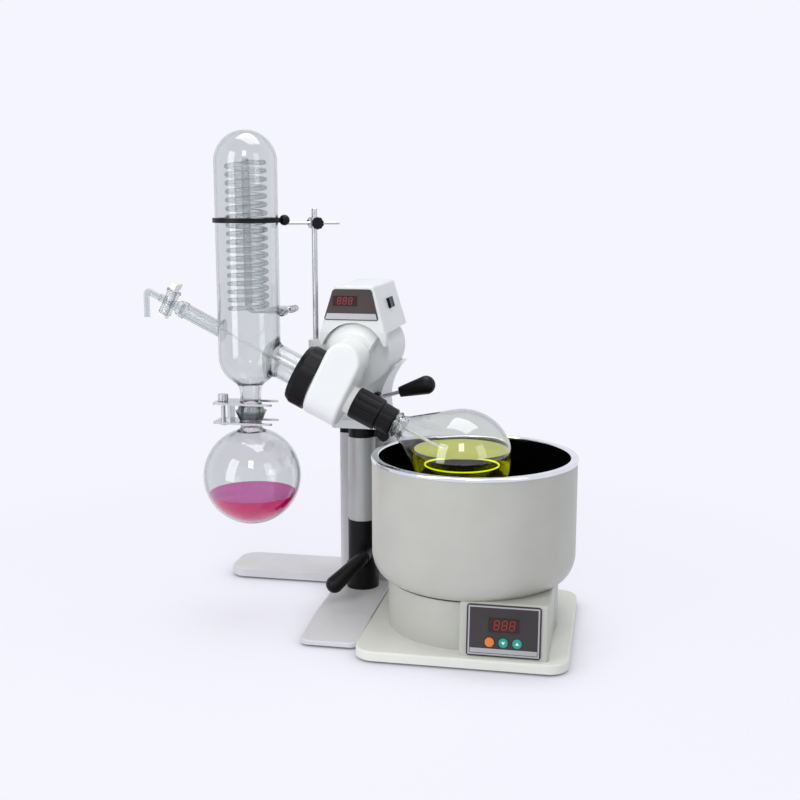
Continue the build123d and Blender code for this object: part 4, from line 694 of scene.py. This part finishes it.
put("lift_lever_handle", joined(
    moved(turned(handle, 64), placed, LEVER_ROOT,
          (lever_side, np.cross(lever_way, lever_side), lever_way)),
    moved(turned(hub, 64), placed, LEVER_HUB, (X, Z, -Y)),
    moved(turned(stud, 48), placed, LEVER_HUB, (X, Z, -Y))),
    [black_abs], "lift_lever", ["lift_lock_lever"])

# Panel printing: flat shapes laid on the panels' planes, each plane as an origin and its right and up
# directions
PANEL = (np.array([212.5, -165.5, 48.5]), X, np.array([0, 9.0, 67.0]) / math.hypot(9, 67))
HEAD = (np.array([-10.3, -14.35, 427.5]), X, np.array([0, 11.0, 62.0]) / math.hypot(11, 62))
PANEL_FACE = 1.2
WINDOW_FACE = 2.0
KEY_FACE = 2.8
KEY_ROW = -14.0
KEY_STEP = 16.9
MARK_HALF = 2.4
MARK_FOOT = 1.6
MARK_TIP = 2.2
MARK_INK = 0.05
DIGIT_INK = 0.06
DIGIT_GAP = 0.02
DIGIT_BAR = 0.055
DIGIT_LEAN = 0.12
PANEL_BORDER = (87.0, 60.0, 1.8)
PANEL_STRIP = [(-41.0, -27.5), (41.0, -27.5), (41.0, -22.0), (-41.0, -22.0)]
HEAD_STRIP = [(-35.0, -19.3), (35.0, -19.3), (32.8, -11.6), (-32.8, -11.6)]
BATH_DIGITS = [(-8.5, 7.5), (1.0, 7.5), (10.5, 7.5)]
BATH_DIGIT_HEIGHT = 11.0
HEAD_DIGITS = [(-16.5, 5.0), (-9.0, 5.0), (-1.5, 5.0)]
HEAD_DIGIT_HEIGHT = 8.5


def laid(outlines, plane, lift, thick=0.12):
    """Thin prisms on a plane: each outline raised by lift and closed by sides and a face."""
    origin, right, up = plane
    out = np.cross(right, up)
    shapes = []
    for outline in outlines:
        outline = np.asarray(outline, float)
        size = len(outline)
        flat = origin + outline[:, :1] * right + outline[:, 1:] * up
        ring = np.arange(size)
        sides = np.column_stack([ring, np.roll(ring, -1), np.roll(ring, -1) + size, ring + size])
        faces = sides.tolist() + [ring[::-1].tolist(), (ring + size).tolist()]
        shapes.append((np.vstack([flat + lift * out, flat + (lift + thick) * out]), faces))
    return joined(*shapes)


def border(width, height, thick):
    """Four strips that make a rectangular border."""
    w, h = width / 2, height / 2
    return [
        [(-w, h - thick), (w, h - thick), (w, h), (-w, h)],
        [(-w, -h), (w, -h), (w, -h + thick), (-w, -h + thick)],
        [(-w, -h + thick), (-w + thick, -h + thick), (-w + thick, h - thick), (-w, h - thick)],
        [(w - thick, -h + thick), (w, -h + thick), (w, h - thick), (w - thick, h - thick)],
    ]


def digit(centre, height):
    """Seven-segment eight: seven pointed bars, each a stretched hexagon, all leaning a little."""
    half = height / 4 - height * DIGIT_GAP
    wide = height * DIGIT_BAR
    bar = run((-half, 0), (-half + wide, wide), (half - wide, wide), (half, 0), (half - wide, -wide),
              (-half + wide, -wide))
    lean = np.array([[1, 0], [DIGIT_LEAN, 1]])
    spots = [(bar, 0, height / 2), (bar, 0, 0), (bar, 0, -height / 2)]
    spots += [(bar[:, ::-1], sx * height / 4, sy * height / 4) for sx in (-1, 1) for sy in (-1, 1)]
    return [(shape + [x, y]) @ lean + np.asarray(centre) for shape, x, y in spots]


put("bath_panel_border", laid(border(*PANEL_BORDER) + [PANEL_STRIP], PANEL, PANEL_FACE), [silver_print],
    "stand")
bath_bars = [bar for centre in BATH_DIGITS for bar in digit(centre, BATH_DIGIT_HEIGHT)]
put("bath_digits", laid(bath_bars, PANEL, WINDOW_FACE, DIGIT_INK), [red_digits],
    "stand")
head_bars = [bar for centre in HEAD_DIGITS for bar in digit(centre, HEAD_DIGIT_HEIGHT)]
put("head_digits", laid(head_bars, HEAD, WINDOW_FACE, DIGIT_INK), [red_digits],
    "head")
put("head_panel_strip", laid([HEAD_STRIP], HEAD, PANEL_FACE), [silver_print], "head")
for name, x, way in (("down", 0.0, -1), ("up", KEY_STEP, 1)):
    foot, tip = KEY_ROW - MARK_FOOT * way, KEY_ROW + MARK_TIP * way
    mark = [(x - MARK_HALF, foot), (x + MARK_HALF, foot), (x, tip)]
    put(f"{name}_mark", laid([mark], PANEL, KEY_FACE, MARK_INK), [white_print],
        f"{name}_key")


# Floor, backdrop and light, in metres
PAPER = linear("#F5F5FF")
FLOOR_HALF = 6
SHADE_REACH = 0.06
FADE_START = 0.25
FADE_END = 0.9
AMBIENT_STRENGTH = 0.33


def seen_rays(tree):
    """Factor that is 1 for rays from the camera, from gloss and through glass."""
    path = node(tree, "ShaderNodeLightPath")
    direct = node(tree, "ShaderNodeMath", {
        0: path.outputs["Is Camera Ray"], 1: path.outputs["Is Glossy Ray"]}, operation="MAXIMUM")
    return node(tree, "ShaderNodeMath", {
        0: direct.outputs[0], 1: path.outputs["Is Transmission Ray"]}, operation="MAXIMUM").outputs[0]


world = bpy.data.worlds.new("studio")
world.use_nodes = True
bpy.context.scene.world = world
sky = world.node_tree
ambient = sky.nodes["Background"]
ambient.inputs["Color"].default_value = linear("#F2F3F6")
ambient.inputs["Strength"].default_value = AMBIENT_STRENGTH
backdrop = node(sky, "ShaderNodeBackground", {"Color": PAPER, "Strength": 1.0})
mixed = node(sky, "ShaderNodeMixShader", {
    0: seen_rays(sky), 1: ambient.outputs[0], 2: backdrop.outputs[0]})
sky.links.new(mixed.outputs[0], sky.nodes["World Output"].inputs["Surface"])

floor_paint = bpy.data.materials.new("studio_floor_paper")
floor_paint.use_nodes = True
tree = floor_paint.node_tree
tree.nodes.clear()
diffuse = node(tree, "ShaderNodeBsdfDiffuse", {"Color": PAPER})
# Corners under the object gather shade
open_air = node(tree, "ShaderNodeAmbientOcclusion", {"Distance": SHADE_REACH}, samples=8)
shade = node(tree, "ShaderNodeMapRange", {"Value": open_air.outputs["AO"], "To Min": 0.1, "To Max": 1.0})
glow = node(tree, "ShaderNodeEmission", {"Color": PAPER, "Strength": shade.outputs["Result"]})
spot = node(tree, "ShaderNodeTexCoord").outputs["Object"]
distance = node(tree, "ShaderNodeVectorMath", {0: spot}, operation="LENGTH")
fade = node(tree, "ShaderNodeMapRange", {
    "Value": distance.outputs["Value"], "From Min": FADE_START, "From Max": FADE_END,
    "To Min": 0.72, "To Max": 1.0})
lit = node(tree, "ShaderNodeMath", {
    0: fade.outputs["Result"], 1: seen_rays(tree)}, operation="MULTIPLY")
sheet = node(tree, "ShaderNodeMixShader", {
    0: lit.outputs[0], 1: diffuse.outputs[0], 2: glow.outputs[0]})
node(tree, "ShaderNodeOutputMaterial", {"Surface": sheet.outputs[0]})
floor_mesh = bpy.data.meshes.new("floor")
floor_mesh.from_pydata(
    [(x * FLOOR_HALF, y * FLOOR_HALF, 0) for x, y in ((-1, -1), (1, -1), (1, 1), (-1, 1))], [],
    [(0, 1, 2, 3)])
floor_mesh.materials.append(floor_paint)
floor = bpy.data.objects.new("floor", floor_mesh)
bpy.context.scene.collection.objects.link(floor)


def lamp(name, place, target, size, power):
    """Rectangular softbox that looks at a target."""
    light = bpy.data.lights.new(name, "AREA")
    light.shape = "RECTANGLE"
    light.size, light.size_y = size
    light.energy = power
    made = bpy.data.objects.new(name, light)
    bpy.context.scene.collection.objects.link(made)
    place, target = np.array(place), np.array(target)
    back = (place - target) / np.linalg.norm(place - target)
    side = np.cross(Z, back)
    side /= np.linalg.norm(side)
    made.location = place
    turn = np.column_stack([side, np.cross(back, side), back])
    made.rotation_euler = Matrix(turn.tolist()).to_euler()


lamp("softbox_left", (-1.05, -1.35, 0.8), (0, 0, 0.3), (0.7, 1.5), 13)
lamp("softbox_front", (0.35, -1.9, 1.75), (0.05, 0, 0.3), (0.5, 0.8), 9)
lamp("softbox_right", (1.9, -1.2, 1.2), (0, 0, 0.3), (0.8, 1.2), 6)
lamp("softbox_top", (0.1, 0.2, 2.2), (0, 0, 0.2), (1.6, 1.2), 23)

# Camera at the photograph's angle: its place in metres, its turns in degrees, its lens in millimetres
CAMERA_PLACE = (0.3410, -1.4839, 0.5691)
CAMERA_DIP = 10.11
CAMERA_TURN = 11.02
CAMERA_SENSOR = 36.0
CAMERA_LENS = 51.5
camera_data = bpy.data.cameras.new("camera")
camera_data.sensor_width = CAMERA_SENSOR
camera_data.lens = CAMERA_LENS
camera = bpy.data.objects.new("camera", camera_data)
bpy.context.scene.collection.objects.link(camera)
camera.location = CAMERA_PLACE
camera.rotation_euler = (math.radians(90 - CAMERA_DIP), 0, math.radians(CAMERA_TURN))
bpy.context.scene.camera = camera
bpy.context.scene.view_settings.view_transform = "Standard"
